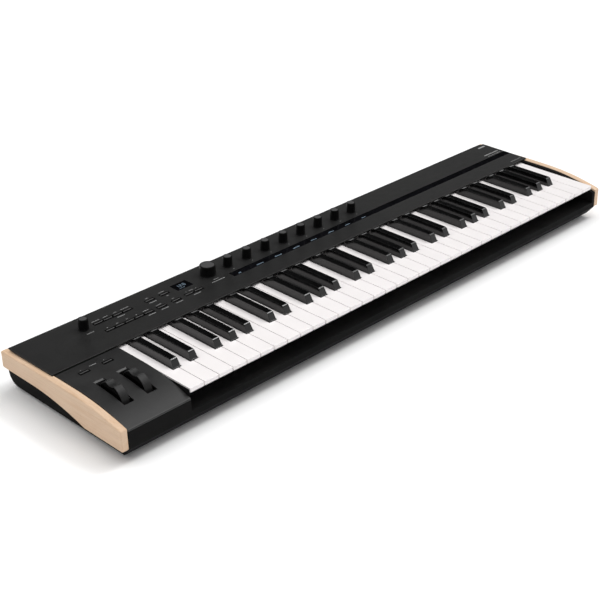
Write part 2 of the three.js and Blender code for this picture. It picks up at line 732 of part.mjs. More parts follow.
// The board under the control panel, with switch bodies, encoder bodies and display modules.
function addPanelBoard() {
  const { left, neck, right, front, step, back } = PANEL_BOARD;
  const outline = [
    [left, front],
    [neck, front],
    [neck, step],
    [right, step],
    [right, back],
    [left, back],
  ];
  const pieces = [plate(outline, BOARD_BOTTOM, BOARD_TOP)];
  const bodyLow = BOARD_TOP - 0.5;
  const body = (x, y, width, depth, top) => (
    plate(rectangle(x, y, width, depth), bodyLow, top)
  );
  const switchBody = (x, y, top) => body(x, y, SWITCH_BODY.width, SWITCH_BODY.depth, top);
  for (const { x, y } of buttonPlaces()) pieces.push(switchBody(x, y, BODY_TOP));
  const octave = OCTAVE_BUTTONS;
  for (let i = 0; i < octave.count; i += 1) {
    const top = BODY_TOP - BLOCK_BUTTON_DROP;
    pieces.push(switchBody(octave.x + i * octave.pitch, octave.y, top));
  }
  for (const { x, y } of knobPlaces()) {
    pieces.push(body(x, y, KNOB_BODY, KNOB_BODY, SHAFT_BOTTOM - GAP));
  }
  const { x, y, width, depth } = MAIN_DISPLAY;
  const moduleTop = PANEL_UNDERSIDE - GAP;
  pieces.push(body(x, y, width - 4, depth - 3, moduleTop));
  pieces.push(box(
    STRIP.left + 2, right - 4, STRIP.front + 1, STRIP.back - 1, bodyLow, moduleTop,
  ));
  addPart('panel_board', geometryOf(joined(pieces.map(solid))), MATERIALS.board);
}

// The main board at the back, with the sockets soldered along its rear edge.
function addMainBoard() {
  const { left, right, front, thickness, belowJacks } = MAIN_BOARD;
  const rear = CASE_REAR - WALL - GAP;
  const boardTop = JACK_Z - belowJacks;
  const pieces = [box(left, right, front, rear - 1, boardTop - thickness, boardTop)];
  for (const { x, depth, width, height } of JACK_SOCKETS) {
    const low = boardTop - 0.5;
    const high = JACK_Z + height / 2;
    pieces.push(box(x - width / 2, x + width / 2, rear - depth - 3, rear, low, high));
  }
  const usb = USB_PORT;
  const shell = usb.width / 2 + 0.8;
  const usbTop = JACK_Z + usb.height / 2 + 0.8;
  pieces.push(box(usb.x - shell, usb.x + shell, rear - usb.depth - 2, rear, boardTop - 0.5, usbTop));
  const bores = JACK_SOCKETS.map((jack) => solid(
    rodAlongY(jack.x, JACK_Z, jack.radius, rear - jack.depth, rear + 1, 12),
  ));
  bores.push(solid(box(
    usb.x - usb.width / 2, usb.x + usb.width / 2, rear - usb.depth, rear + 1,
    JACK_Z - usb.height / 2, JACK_Z + usb.height / 2,
  )));
  const board = joined(pieces.map(solid)).subtract(joined(bores));
  addPart('main_board', geometryOf(board), MATERIALS.board);
}

// ---- Feet ---------------------------------------------------------------------------------

function addFeet() {
  const { radius, x, y, height } = FOOT;
  const outline = [[0, 0], [radius - 1, 0], [radius, 1], [radius, height], [0, height]];
  const points = outline.map(([r, z]) => new THREE.Vector2(r, z));
  for (const [side, sx] of [['left', -1], ['right', 1]]) {
    for (const [end, sy] of [['front', -1], ['rear', 1]]) {
      const geometry = new THREE.LatheGeometry(points, 16).rotateX(Math.PI / 2);
      addPart(`foot_${end}_${side}`, geometry, MATERIALS.rubber).position.set(sx * x, sy * y, 0);
    }
  }
}

addCase();
addCheeks();
addWheelPanel();
addWheels();
addWheelBracket();
addControlPanel();
addDisplays();
addButtons();
addKnobs();
addKeys();
addKeybed();
addPanelBoard();
addMainBoard();
addFeet();

export default instrument;
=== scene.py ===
"""Looks of a 61-key synthesizer with pale wooden ends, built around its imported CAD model.

Lengths are millimetres until a mesh becomes a piece, which is in metres. X runs from the bass
end to the treble end, Y from the player to the back, and Z up from the table.
"""

import json
import math
import random

import bmesh
import bpy
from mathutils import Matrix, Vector


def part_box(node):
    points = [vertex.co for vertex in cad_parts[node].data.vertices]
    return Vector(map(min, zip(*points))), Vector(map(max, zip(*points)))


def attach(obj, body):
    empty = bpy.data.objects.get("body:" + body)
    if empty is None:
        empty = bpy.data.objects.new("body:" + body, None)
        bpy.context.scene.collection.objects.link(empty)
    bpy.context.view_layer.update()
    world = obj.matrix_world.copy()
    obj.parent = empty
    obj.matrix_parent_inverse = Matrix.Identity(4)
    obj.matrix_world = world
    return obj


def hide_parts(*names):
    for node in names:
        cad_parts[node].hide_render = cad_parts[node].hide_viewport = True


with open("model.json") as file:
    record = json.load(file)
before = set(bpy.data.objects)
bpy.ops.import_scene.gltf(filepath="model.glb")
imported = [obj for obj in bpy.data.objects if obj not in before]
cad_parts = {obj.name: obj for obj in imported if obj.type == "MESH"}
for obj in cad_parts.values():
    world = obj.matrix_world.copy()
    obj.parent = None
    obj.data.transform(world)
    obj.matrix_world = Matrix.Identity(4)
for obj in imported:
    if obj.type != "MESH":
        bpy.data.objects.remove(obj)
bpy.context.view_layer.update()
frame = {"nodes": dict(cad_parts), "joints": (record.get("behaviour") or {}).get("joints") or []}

MM = 0.001
SCENE = bpy.context.scene
CHANCE = random.Random(61)


# ---- Places taken from the frame ----


def span(node):
    """The lowest and highest corners of a CAD node."""
    low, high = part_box(node)
    return low / MM, high / MM


def middle(node):
    low, high = span(node)
    return (low + high) / 2


CASE_LOW, CASE_HIGH = span("bottom_case")
PANEL_LOW, PANEL_HIGH = span("control_panel")
WOOD_LOW, WOOD_HIGH = span("left_wood_end")
COVER_HIGH = span("wheel_panel")[1]
KEYS_LOW = span("white_comb_cegb_1")[0]
BLACK_LOW, BLACK_HIGH = span("black_comb_1")
REAR = CASE_HIGH.y

WALL = 2.5
GAP = 0.3
RAIL_TOP = 29.5
RAIL_FACE_BOTTOM = 20.5
RAIL_LEDGE_BACK = -96
CHAMFER_BACK = CASE_LOW.y + 12
REAR_CORNER_RADIUS = 18
SHOULDER_TOP = WOOD_HIGH.z
SHOULDER = (-33.5, 292)
WOOD_SHOULDER = (-23, 430)
TRIM_LEFT = 469.4
PANEL_BACK = PANEL_HIGH.y - 2.2

KEY_PITCH = 23.5
OCTAVES = 5
KEY_LEFT = KEYS_LOW.x - 0.4
BLACK_SLOT = 13.7
WHITE_TOP = 59
BLACK_BASE_WIDTH = 12.2
BLACK_TOP_WIDTH = 9.6
BLACK_BACK_TOP = 3
BLACK_BACK_LOW = 14.5
WHITE_SIDE_GAP = 0.5
WHITE_LIP = 6
WHITE_OVERHANG = 10
WHITE_DEPTH = 12
COMB_LEVELS = {"white_comb_dfa": 36, "white_comb_cegb": 40.5, "black_comb": 45}

JACKS = (330, 306, 276, 244, 220)
ROUND_SOCKETS = (184, 158)
POWER_SOCKET = 96
DATA_PORT = 128
SOCKET_Z = 36
JACK_HOLE = 5.2
ROUND_HOLE = 7.4
POWER_HOLE = 3.4


# ---- Camera, lights and floor ----

FLOOR_LEVEL = -0.1
FLOOR_SIZE = 60  # metres


def add_camera():
    data = bpy.data.cameras.new("camera")
    data.sensor_width = 36
    data.lens = 79.75
    data.shift_x = -0.0774
    data.shift_y = -0.0037
    camera = bpy.data.objects.new("camera", data)
    camera.location = (-1.22846, -1.21772, 0.92181)
    camera.rotation_euler = [math.radians(angle) for angle in (61.7147, 0.4101, -46.0307)]
    SCENE.collection.objects.link(camera)
    SCENE.camera = camera


def add_soft_sun(name, strength, spread, tilt, turn):
    """A directional light as wide in the sky as spread degrees, tilted from overhead towards turn."""
    data = bpy.data.lights.new(name, "SUN")
    data.energy = strength
    data.angle = math.radians(spread)
    light = bpy.data.objects.new(name, data)
    light.rotation_euler = (math.radians(tilt), 0, math.radians(turn))
    SCENE.collection.objects.link(light)


def add_world():
    """A dark sky over a pale band at the horizon, so that level views have a pale backdrop."""
    world = bpy.data.worlds.new("studio")
    SCENE.world = world
    world.use_nodes = True
    tree = world.node_tree
    background = tree.nodes["Background"]
    place = tree.nodes.new("ShaderNodeTexCoord")
    split = tree.nodes.new("ShaderNodeSeparateXYZ")
    ramp = tree.nodes.new("ShaderNodeValToRGB")
    levels = ((0, 0.95), (0.14, 0.85), (0.34, 0.012), (0.74, 0.02), (1, 0.9))
    set_stops(ramp, [(position, grey(level)) for position, level in levels])
    tree.links.new(place.outputs["Generated"], split.inputs[0])
    tree.links.new(split.outputs["Z"], ramp.inputs["Fac"])
    tree.links.new(ramp.outputs["Color"], background.inputs["Color"])


def add_studio():
    SCENE.view_settings.view_transform = "Standard"
    add_world()
    add_soft_sun("key_light", 1.65, 60, 36, 70)
    add_soft_sun("key_light_core", 0.6, 11, 36, 70)
    add_soft_sun("back_left_light", 1.35, 70, 28, -130)
    add_soft_sun("front_left_light", 0.3, 20, 55, -40)
    floor_mesh = bpy.data.meshes.new("floor")
    corners = [(x, y, FLOOR_LEVEL * MM) for x, y in rectangle(0, 0, FLOOR_SIZE, FLOOR_SIZE)]
    floor_mesh.from_pydata(corners, [], [(0, 1, 2, 3)])
    floor = bpy.data.objects.new("floor", floor_mesh)
    floor.data.materials.append(floor_finish())
    SCENE.collection.objects.link(floor)


# ---- Materials ----


def grey(level):
    return (level, level, level)


def set_stops(ramp, stops):
    """Gives a colour ramp its (position, colour) stops."""
    elements = ramp.color_ramp.elements
    while len(elements) < len(stops):
        elements.new(0.5)
    for element, (position, colour) in zip(elements, stops):
        element.position = position
        element.color = (*colour, 1)


class Finish:
    """A procedural material, and the record's slot that it belongs to."""

    def __init__(self, name, slot, roughness, metallic=0.0, gloss=0.5):
        self.slot = slot
        self.material = bpy.data.materials.new(name)
        self.material.use_nodes = True
        self.tree = self.material.node_tree
        self.shader = self.tree.nodes["Principled BSDF"]
        self.set("Roughness", roughness)
        self.set("Metallic", metallic)
        self.set("Specular IOR Level", gloss)
        self.place = self.node("TexCoord").outputs["Object"]

    def set(self, socket, value):
        self.shader.inputs[socket].default_value = value

    def link(self, source, socket):
        self.tree.links.new(source, self.shader.inputs[socket])

    def node(self, kind, **values):
        """A new node with some sockets set; an underscore stands for a space in a socket's name."""
        node = self.tree.nodes.new(f"ShaderNode{kind}")
        for socket, value in values.items():
            node.inputs[socket.replace("_", " ")].default_value = value
        return node

    def stretched(self, scale):
        """Object coordinates scaled by a different amount along each axis."""
        node = self.node("Mapping", Scale=scale)
        self.tree.links.new(self.place, node.inputs["Vector"])
        return node.outputs["Vector"]

    def noise(self, size, detail=3, roughness=0.5, place=None, distortion=0.0):
        """Noise whose lumps are about size millimetres across."""
        scale = 1 / (size * MM)
        node = self.node("TexNoise", Scale=scale, Detail=detail, Roughness=roughness, Distortion=distortion)
        self.tree.links.new(place or self.place, node.inputs["Vector"])
        return node.outputs["Fac"]

    def colours(self, source, *stops):
        node = self.node("ValToRGB")
        set_stops(node, stops)
        self.tree.links.new(source, node.inputs["Fac"])
        return node.outputs["Color"]

    def tone(self, source, *stops):
        """The base colour, from a colour ramp."""
        self.link(self.colours(source, *stops), "Base Color")

    def sheen(self, source, low, high):
        """Roughness from low to high, by noise that mostly lies between 0.3 and 0.7."""
        node = self.node("MapRange")
        for socket, value in zip(node.inputs[1:5], (0.3, 0.7, low, high)):
            socket.default_value = value
        self.tree.links.new(source, node.inputs["Value"])
        self.link(node.outputs["Result"], "Roughness")

    def darkened(self, colour, share, source, *stops):
        """A colour multiplied by a colour ramp, as far as share says."""
        layer = self.colours(source, *stops)
        node = self.node("Mix")
        node.data_type = "RGBA"
        node.blend_type = "MULTIPLY"
        node.inputs["Factor"].default_value = share
        colours = [socket for socket in node.inputs if socket.type == "RGBA"]
        self.tree.links.new(colour, colours[0])
        self.tree.links.new(layer, colours[1])
        return next(socket for socket in node.outputs if socket.type == "RGBA")

    def bump(self, source, height):
        """Relief of about height millimetres; a second call adds to the first."""
        node = self.node("Bump", Strength=1.0, Distance=height * MM)
        self.tree.links.new(source, node.inputs["Height"])
        earlier = self.shader.inputs["Normal"].links
        if earlier:
            self.tree.links.new(earlier[0].from_socket, node.inputs["Normal"])
        self.link(node.outputs["Normal"], "Normal")


def moulded_black(name, slot, tone, roughness, grain=0.35, relief=0.02, gloss=0.3):
    """Black plastic with a fine moulded grain and faint uneven sheen."""
    finish = Finish(name, slot, roughness, gloss=gloss)
    warm = (tone * 1.25, tone * 1.22, tone * 1.2)
    deep = (tone * 0.8, tone * 0.8, tone * 0.82)
    finish.tone(finish.noise(60), (0.35, deep), (0.65, warm))
    finish.sheen(finish.noise(25, 5), roughness - 0.05, roughness + 0.06)
    finish.bump(finish.noise(grain, 2), relief)
    return finish


def panel_finish():
    """Fine satin powder coat: small orange peel, and tiny specks in the sheen."""
    finish = Finish("satin_panel_coat", "panel_metal", 0.46, gloss=0.25)
    tone = finish.colours(finish.noise(90, 4), (0.3, grey(0.009)), (0.7, (0.012, 0.0118, 0.0115)))
    tone = finish.darkened(tone, 0.5, finish.noise(0.3, 1), (0.5, grey(0.8)), (0.75, grey(1)))
    finish.link(tone, "Base Color")
    finish.sheen(finish.noise(14, 5), 0.42, 0.5)
    finish.bump(finish.noise(1.4, 2), 0.012)
    finish.bump(finish.noise(0.22, 2), 0.012)
    return finish


def wood_finish():
    """Pale oiled maple with its grain along the length of each end."""
    finish = Finish("pale_maple", "pale_wood", 0.5)
    bands = finish.noise(16, 4, 0.55, finish.stretched((1, 0.07, 1.6)), 0.6)
    fibres = finish.noise(1.1, 5, 0.7, finish.stretched((1, 0.025, 1)))
    flecks = finish.noise(0.5, 2, 0.5, finish.stretched((1, 0.09, 1)))
    cloud = finish.noise(70, 3, 0.5, finish.stretched((1, 0.6, 1)), 1.2)
    pale, warm, deep = (0.67, 0.495, 0.35), (0.62, 0.425, 0.275), (0.60, 0.40, 0.25)
    tone = finish.colours(bands, (0.3, warm), (0.5, pale), (0.72, deep))
    tone = finish.darkened(tone, 0.7, fibres, (0.3, (0.84, 0.80, 0.76)), (0.62, grey(1)))
    tone = finish.darkened(tone, 0.55, flecks, (0.28, (0.62, 0.52, 0.44)), (0.36, grey(1)))
    tone = finish.darkened(tone, 0.8, cloud, (0.35, (0.92, 0.88, 0.84)), (0.6, grey(1)))
    finish.link(tone, "Base Color")
    finish.sheen(fibres, 0.42, 0.58)
    finish.bump(fibres, 0.05)
    finish.bump(flecks, 0.03)
    return finish


def white_key_finish():
    """Semi-gloss ivory-white plastic, faintly wavy, with a slight polish from fingers."""
    finish = Finish("white_key_plastic", "white_key", 0.2)
    finish.tone(finish.noise(45, 3), (0.3, (0.80, 0.768, 0.766)), (0.7, (0.83, 0.797, 0.794)))
    finish.sheen(finish.noise(18, 5), 0.16, 0.27)
    finish.bump(finish.noise(9, 1), 0.01)
    finish.bump(finish.noise(0.6, 2), 0.002)
    return finish


def black_key_finish():
    """Gloss black plastic with hair-fine scratches along the key."""
    finish = Finish("black_key_plastic", "black_key", 0.12, gloss=0.6)
    finish.tone(finish.noise(30, 3), (0.3, (0.0015, 0.0015, 0.0016)), (0.7, (0.0028, 0.0028, 0.0029)))
    scratches = finish.noise(0.7, 4, 0.6, finish.stretched((1, 0.03, 1)))
    finish.sheen(scratches, 0.09, 0.17)
    finish.bump(finish.noise(7, 1), 0.008)
    return finish


def lens_finish():
    """Gloss black acrylic with faint smears."""
    finish = Finish("display_lens", "display_lens", 0.06, gloss=0.3)
    finish.tone(finish.noise(20), (0.4, (0.0015, 0.0015, 0.002)), (0.6, (0.003, 0.003, 0.004)))
    finish.sheen(finish.noise(12, 6, 0.65), 0.04, 0.11)
    return finish


def glow_finish():
    """Lit bluish-white segments, a little uneven."""
    finish = Finish("display_glow", "display_lens", 0.3)
    finish.set("Base Color", (0.02, 0.03, 0.04, 1))
    glow = finish.colours(finish.noise(1.2, 2), (0.35, (0.28, 0.40, 0.52)), (0.6, (0.52, 0.66, 0.8)))
    finish.link(glow, "Emission Color")
    finish.set("Emission Strength", 0.4)
    return finish


def ink_finish():
    """Pale grey screen print, thin enough to let the coat show here and there."""
    finish = Finish("panel_print", "panel_metal", 0.55)
    finish.tone(finish.noise(0.25, 3), (0.3, grey(0.16)), (0.55, grey(0.33)))
    finish.bump(finish.noise(0.2, 2), 0.01)
    return finish


def metal_finish(name, tone, roughness, stretch):
    """Plated steel with brush marks along the axis that stretch makes long."""
    finish = Finish(name, "sheet_steel", roughness, metallic=1.0)
    brush = finish.noise(0.5, 4, 0.6, finish.stretched(stretch))
    dark = tuple(0.82 * value for value in tone)
    finish.tone(brush, (0.3, dark), (0.7, tone))
    finish.sheen(brush, roughness - 0.07, roughness + 0.1)
    finish.bump(brush, 0.006)
    return finish


def board_finish():
    """Green solder mask with slightly raised copper tracks under it."""
    finish = Finish("circuit_board", "circuit_board", 0.35)
    node = finish.node("TexBrick", Scale=120, Mortar_Size=0.03, Mortar=(0.05, 0.2, 0.08, 1))
    node.inputs["Color1"].default_value = (0.012, 0.075, 0.03, 1)
    node.inputs["Color2"].default_value = (0.016, 0.095, 0.038, 1)
    finish.tree.links.new(finish.place, node.inputs["Vector"])
    cloud = finish.noise(15, 3)
    tone = finish.darkened(node.outputs["Color"], 0.6, cloud, (0.3, grey(0.8)), (0.7, grey(1)))
    finish.link(tone, "Base Color")
    finish.bump(node.outputs["Fac"], 0.03)
    return finish


def rubber_finish():
    """Matt black rubber, dusty in places."""
    finish = Finish("foot_rubber", "foot_rubber", 0.8)
    finish.tone(finish.noise(6, 4), (0.3, grey(0.012)), (0.7, (0.03, 0.03, 0.029)))
    finish.bump(finish.noise(0.5, 3), 0.05)
    return finish


def floor_finish():
    """Plain pale backdrop paper."""
    finish = Finish("pale_floor", None, 0.75)
    finish.tone(finish.noise(400, 2), (0.3, grey(0.9)), (0.7, grey(0.93)))
    finish.bump(finish.noise(3, 3), 0.02)
    return finish.material


# ---- Outlines ----


def arc(x, y, radius, start, end, steps):
    """Points on an arc, both ends included, with angles in degrees from the first axis."""
    angles = [math.radians(start + (end - start) * i / steps) for i in range(steps + 1)]
    return [(x + radius * math.cos(angle), y + radius * math.sin(angle)) for angle in angles]


def curve(start, pull, end, steps):
    """Points on a quadratic curve from start to end, both ends included."""
    points = []
    for i in range(steps + 1):
        t = i / steps
        weights = ((1 - t) ** 2, 2 * t * (1 - t), t * t)
        points.append(tuple(sum(w * p[axis] for w, p in zip(weights, (start, pull, end))) for axis in (0, 1)))
    return points


def rectangle(x, y, width, depth):
    corners = ((-0.5, -0.5), (0.5, -0.5), (0.5, 0.5), (-0.5, 0.5))
    return [(x + width * a, y + depth * b) for a, b in corners]


def footprint(node, margin=0):
    """A CAD node's outline from above, wider by margin on every side."""
    low, high = span(node)
    centre = (low + high) / 2
    return rectangle(centre.x, centre.y, high.x - low.x + 2 * margin, high.y - low.y + 2 * margin)


def rounded(points, radius, steps=4):
    """The outline with each corner turned into an arc; radius is one number or one for each corner."""
    radii = radius if isinstance(radius, (list, tuple)) else [radius] * len(points)
    result = []
    for i, (point, size) in enumerate(zip(points, radii)):
        corner = Vector(point)
        before = Vector(points[i - 1]) - corner
        after = Vector(points[(i + 1) % len(points)]) - corner
        half = before.angle(after) / 2
        if size <= 0 or half > math.radians(85):
            result.append(tuple(corner))
            continue
        reach = min(size / math.tan(half), before.length * 0.49, after.length * 0.49)
        first = corner + before.normalized() * reach
        last = corner + after.normalized() * reach
        inward = (before.normalized() + after.normalized()).normalized()
        centre = corner + inward * (reach / math.cos(half))
        start, end = (math.degrees(math.atan2(*(point - centre).yx)) for point in (first, last))
        sweep = (end - start + 180) % 360 - 180
        result += arc(centre.x, centre.y, (first - centre).length, start, start + sweep, steps)
    return result


def polygon(x, y, radius, sides, turn=0):
    return arc(x, y, radius, turn, turn + 360 - 360 / sides, sides - 1)


# ---- Solids ----

PLACES = {
    "x": lambda a, b, level: (level, a, b),
    "y": lambda a, b, level: (a, level, b),
    "z": lambda a, b, level: (a, b, level),
}


def evaluated(work):
    """A new mesh: the work object's, with its modifiers applied."""
    return bpy.data.meshes.new_from_object(work.evaluated_get(bpy.context.evaluated_depsgraph_get()))


class Solid:
    """A closed mesh, built from prisms and turned shapes, then cut and eased."""

    def __init__(self):
        self.bm = bmesh.new()

    def prism(self, outline, low, high, axis="z"):
        """An outline in the two other axes, carried along axis from low to high."""
        place = PLACES[axis]
        rings = [[self.bm.verts.new(place(a, b, level)) for a, b in outline] for level in (low, high)]
        for ring in rings:
            self.bm.faces.new(ring)
        for i, (low_vert, high_vert) in enumerate(zip(*rings)):
            after = (i + 1) % len(outline)
            self.bm.faces.new((low_vert, rings[0][after], rings[1][after], high_vert))
        return self.tidy()

    def block(self, x0, x1, y0, y1, z0, z1):
        return self.prism([(x0, y0), (x1, y0), (x1, y1), (x0, y1)], z0, z1)

    def turned(self, profile, x=0.0, y=0.0, sides=48, axis="z"):
        """A profile of (radius, level) points, from the axis back to the axis, turned about axis."""
        place = PLACES[axis]
        rings = []
        for radius, level in profile:
            if radius == 0:
                rings.append([self.bm.verts.new(place(x, y, level))])
                continue
            rings.append([self.bm.verts.new(place(a, b, level)) for a, b in polygon(x, y, radius, sides)])
        for first, second in zip(rings, rings[1:]):
            for i in range(sides):
                after = (i + 1) % sides
                corners = [first[i % len(first)], first[after % len(first)]]
                corners += [second[after % len(second)], second[i % len(second)]]
                unique = list(dict.fromkeys(corners))
                if len(unique) > 2:
                    self.bm.faces.new(unique)
        return self.tidy()

    def rod(self, radius, low, high, x=0.0, y=0.0, sides=48, axis="z"):
        """A round bar along axis from low to high."""
        return self.turned([(0, low), (radius, low), (radius, high), (0, high)], x, y, sides, axis)

    def tidy(self):
        """All faces turned outwards."""
        bmesh.ops.recalc_face_normals(self.bm, faces=self.bm.faces[:])
        return self

    def as_object(self):
        mesh = bpy.data.meshes.new("work")
        self.bm.to_mesh(mesh)
        work = bpy.data.objects.new("work", mesh)
        SCENE.collection.objects.link(work)
        return work

    def combined(self, other, operation):
        mine, theirs = self.as_object(), other.as_object()
        modifier = mine.modifiers.new("combine", "BOOLEAN")
        modifier.object = theirs
        modifier.operation = operation
        modifier.solver = "MANIFOLD"
        result = evaluated(mine)
        self.bm.clear()
        self.bm.from_mesh(result)
        bpy.data.meshes.remove(result)
        for work in (mine, theirs):
            bpy.data.meshes.remove(work.data)
        bmesh.ops.remove_doubles(self.bm, verts=self.bm.verts[:], dist=0.002)
        flat = math.radians(0.3)
        bmesh.ops.dissolve_limit(self.bm, angle_limit=flat, verts=self.bm.verts[:], edges=self.bm.edges[:])
        return self

    def cut(self, other):
        return self.combined(other, "DIFFERENCE")

    def join(self, other):
        return self.combined(other, "UNION")

    def ease(self, width, segments=2, where=None, angle=32):
        """Rounds the edges that turn by more than angle degrees."""
        limit = math.radians(angle)
        edges = [
            edge for edge in self.bm.edges
            if edge.is_manifold and edge.calc_face_angle(0) > limit
            and (where is None or all(where(vert.co) for vert in edge.verts))
        ]
        bmesh.ops.bevel(
            self.bm, geom=edges, offset=width, segments=segments,
            profile=0.5, affect="EDGES", clamp_overlap=True,
        )
        return self

    def mesh(self, name):
        """The finished mesh in metres, shaded so that its flat faces stay flat."""
        self.tidy()
        many_sided = [face for face in self.bm.faces if len(face.verts) > 4]
        bmesh.ops.triangulate(self.bm, faces=many_sided, ngon_method="EAR_CLIP")
        bmesh.ops.scale(self.bm, vec=(MM, MM, MM), verts=self.bm.verts[:])
        work = self.as_object()
        self.bm.free()
        work.data.shade_smooth()
        work.data.set_sharp_from_angle(angle=math.radians(40))
        weighted = work.modifiers.new("weighted", "WEIGHTED_NORMAL")
        weighted.keep_sharp = True
        result = evaluated(work)
        bpy.data.meshes.remove(work.data)
        result.name = name
        return result


def piece(name, shape, finish, body="case", at=(0, 0, 0), replaces=()):
    """A finished piece on its body. A shape is a Solid, or a mesh that several pieces share."""
    mesh = shape.mesh(name) if isinstance(shape, Solid) else shape
    if not mesh.materials:
        mesh.materials.append(finish.material)
    thing = bpy.data.objects.new(name, mesh)
    SCENE.collection.objects.link(thing)
    thing.location = Vector(at) * MM
    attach(thing, body)
    if replaces:
        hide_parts(*replaces)


# ---- The curved shoulder shared by the ends, the wheel cover and the right trim ----


def shoulder_height(y, shape=SHOULDER):
    """Level at the back, then an arc that falls towards the player."""
    start, radius = shape
    reach = max(0, start - y)
    return SHOULDER_TOP - (radius - math.sqrt(radius ** 2 - reach ** 2))


def shoulder_line(front, back, drop, shape=SHOULDER):
    """The shoulder from the front to the back, lowered by drop."""
    steps = 26
    places = [front + (shape[0] - front) * i / steps for i in range(steps + 1)]
    return [*((y, shoulder_height(y, shape) - drop) for y in places), (back, SHOULDER_TOP - drop)]


# ---- Wooden ends ----


def wood_outline():
    """The end from the side: curved top, rounded rear corners, and an underside that sweeps down."""
    low_back, rear_top = 36.4, 60.8
    low_front = WOOD_LOW.z
    corner = 3
    rear = WOOD_HIGH.y - corner
    sweep_start, sweep_radius = 60, 390
    sweep_angle = math.degrees(math.acos(1 - (low_back - low_front) / sweep_radius))
    top = shoulder_line(WOOD_LOW.y, PANEL_LOW.y, 0, WOOD_SHOULDER)
    rear_high = arc(rear, rear_top - corner, corner, 90, 0, 6)
    rear_low = arc(rear, low_back + corner, corner, 0, -90, 6)
    sweep = arc(sweep_start, low_back - sweep_radius, sweep_radius, 90, 90 + sweep_angle, 24)
    return [*top, *rear_high, *rear_low, *sweep, (WOOD_LOW.y, low_front)]


def add_wooden_ends(finish):
    for name in ("left_wood_end", "right_wood_end"):
        low, high = span(name)
        end = Solid().prism(wood_outline(), low.x, high.x, "x").ease(2, 5, angle=40)
        piece(f"{name}_maple", end, finish, replaces=[name])


# ---- Case ----


def rear_corner(radius):
    """The rounded corner between the floor and the back wall."""
    centre_y = REAR - REAR_CORNER_RADIUS
    return arc(centre_y, CASE_LOW.z + REAR_CORNER_RADIUS, radius, -90, 0, 16)


def rear_shoulder(inset):
    """The back wall's curve up to the border behind the panel."""
    top = (PANEL_BACK + 0.5, 64.4 - inset * 1.1)
    return curve((REAR - inset, 46 - inset * 0.2), (REAR - 1 - inset, 61.3 - inset), top, 9)


def case_outside():
    """The outside of the case from the front rail's face, underneath and up the back."""
    low = [(CASE_LOW.y, RAIL_FACE_BOTTOM), (CHAMFER_BACK, CASE_LOW.z)]
    return [*low, *rear_corner(REAR_CORNER_RADIUS), *rear_shoulder(0)]


def case_section():
    """The case's wall, cut from front to back: rail, chamfer, floor, back wall and shoulder."""
    front = CASE_LOW.y
    inner = [
        *reversed(rear_shoulder(WALL)),
        *reversed(rear_corner(REAR_CORNER_RADIUS - WALL)),
        (CHAMFER_BACK + 1.4, CASE_LOW.z + WALL),
        (front + WALL, RAIL_FACE_BOTTOM + 0.8),
        (front + WALL, RAIL_TOP - WALL),
        (RAIL_LEDGE_BACK, RAIL_TOP - WALL),
        (RAIL_LEDGE_BACK, RAIL_TOP),
    ]
    return [(front, RAIL_TOP), *case_outside(), *inner]


def case_end(drop):
    """One end wall, lower by drop than the shoulder line."""
    under_panel = (PANEL_BACK + 0.5, PANEL_LOW.z - 0.2)
    return [*case_outside(), under_panel, *reversed(shoulder_line(CASE_LOW.y, PANEL_LOW.y, drop))]


SCREW_SEAT = CASE_LOW.z + 1.3
SCREW_PLACES = [(x, y) for x in (-455, -300, -150, 0, 150, 300, 455) for y in (-98, 62)]


def add_case(finish, screw_finish):
    """The lower case with its ends, socket holes and screw seats."""
    left, right = CASE_LOW.x, CASE_HIGH.x
    front_top = shoulder_height(CASE_LOW.y) - WALL - GAP
    shell = Solid().prism(case_section(), left, right, "x")
    shell.join(Solid().prism(case_end(WALL + GAP), left, left + WALL, "x"))
    shell.join(Solid().prism(case_end(0.8), TRIM_LEFT, right, "x"))
    shell.join(Solid().block(left, COVER_HIGH.x, CASE_LOW.y, CASE_LOW.y + WALL, RAIL_TOP - 1, front_top))
    bores = [(x, JACK_HOLE, 32) for x in JACKS]
    bores += [(x, ROUND_HOLE, 40) for x in ROUND_SOCKETS]
    bores.append((POWER_SOCKET, POWER_HOLE, 32))
    holes = Solid()
    for x, radius, sides in bores:
        holes.rod(radius, REAR - 6, REAR + 2, x, SOCKET_Z, sides, "y")
    port = rounded(rectangle(DATA_PORT, SOCKET_Z, 9.4, 3.7), 1.6)
    holes.prism(port, REAR - 6, REAR + 2, "y")
    for x, y in SCREW_PLACES:
        holes.rod(4.3, CASE_LOW.z - 1.5, SCREW_SEAT, x, y, 28)
    shell.cut(holes)
    shell.ease(0.45, 2)
    piece("case_shell", shell, finish, replaces=["bottom_case"])
    add_screws(screw_finish)


def add_key_guard(finish):
    """A thin upright fin between the wheel cover and the lowest key."""
    guard = Solid().block(KEY_LEFT - 1.1, KEY_LEFT - 0.3, KEYS_LOW.y + 0.6, 12, RAIL_TOP, WHITE_TOP - 1.4)
    piece("key_guard", guard.ease(0.2, 1), finish)


def add_screws(finish):
    """Pan-head screws in the case's underside, each with a cross recess."""
    crown = SCREW_SEAT - 1.9
    profile = [(0, SCREW_SEAT), (3.4, SCREW_SEAT), (3.4, crown + 0.9), (2.6, crown + 0.2), (0, crown)]
    head = Solid().turned(profile, sides=28)
    cross = Solid()
    cross.block(-2.1, 2.1, -0.4, 0.4, crown - 1, crown + 1)
    slot = Solid().block(-0.4, 0.4, -2.1, 2.1, crown - 1, crown + 1)
    mesh = head.cut(cross.join(slot)).ease(0.12, 1).mesh("screw_head")
    for number, (x, y) in enumerate(SCREW_PLACES, 1):
        piece(f"case_screw_{number:02d}", mesh, finish, at=(x, y, 0))


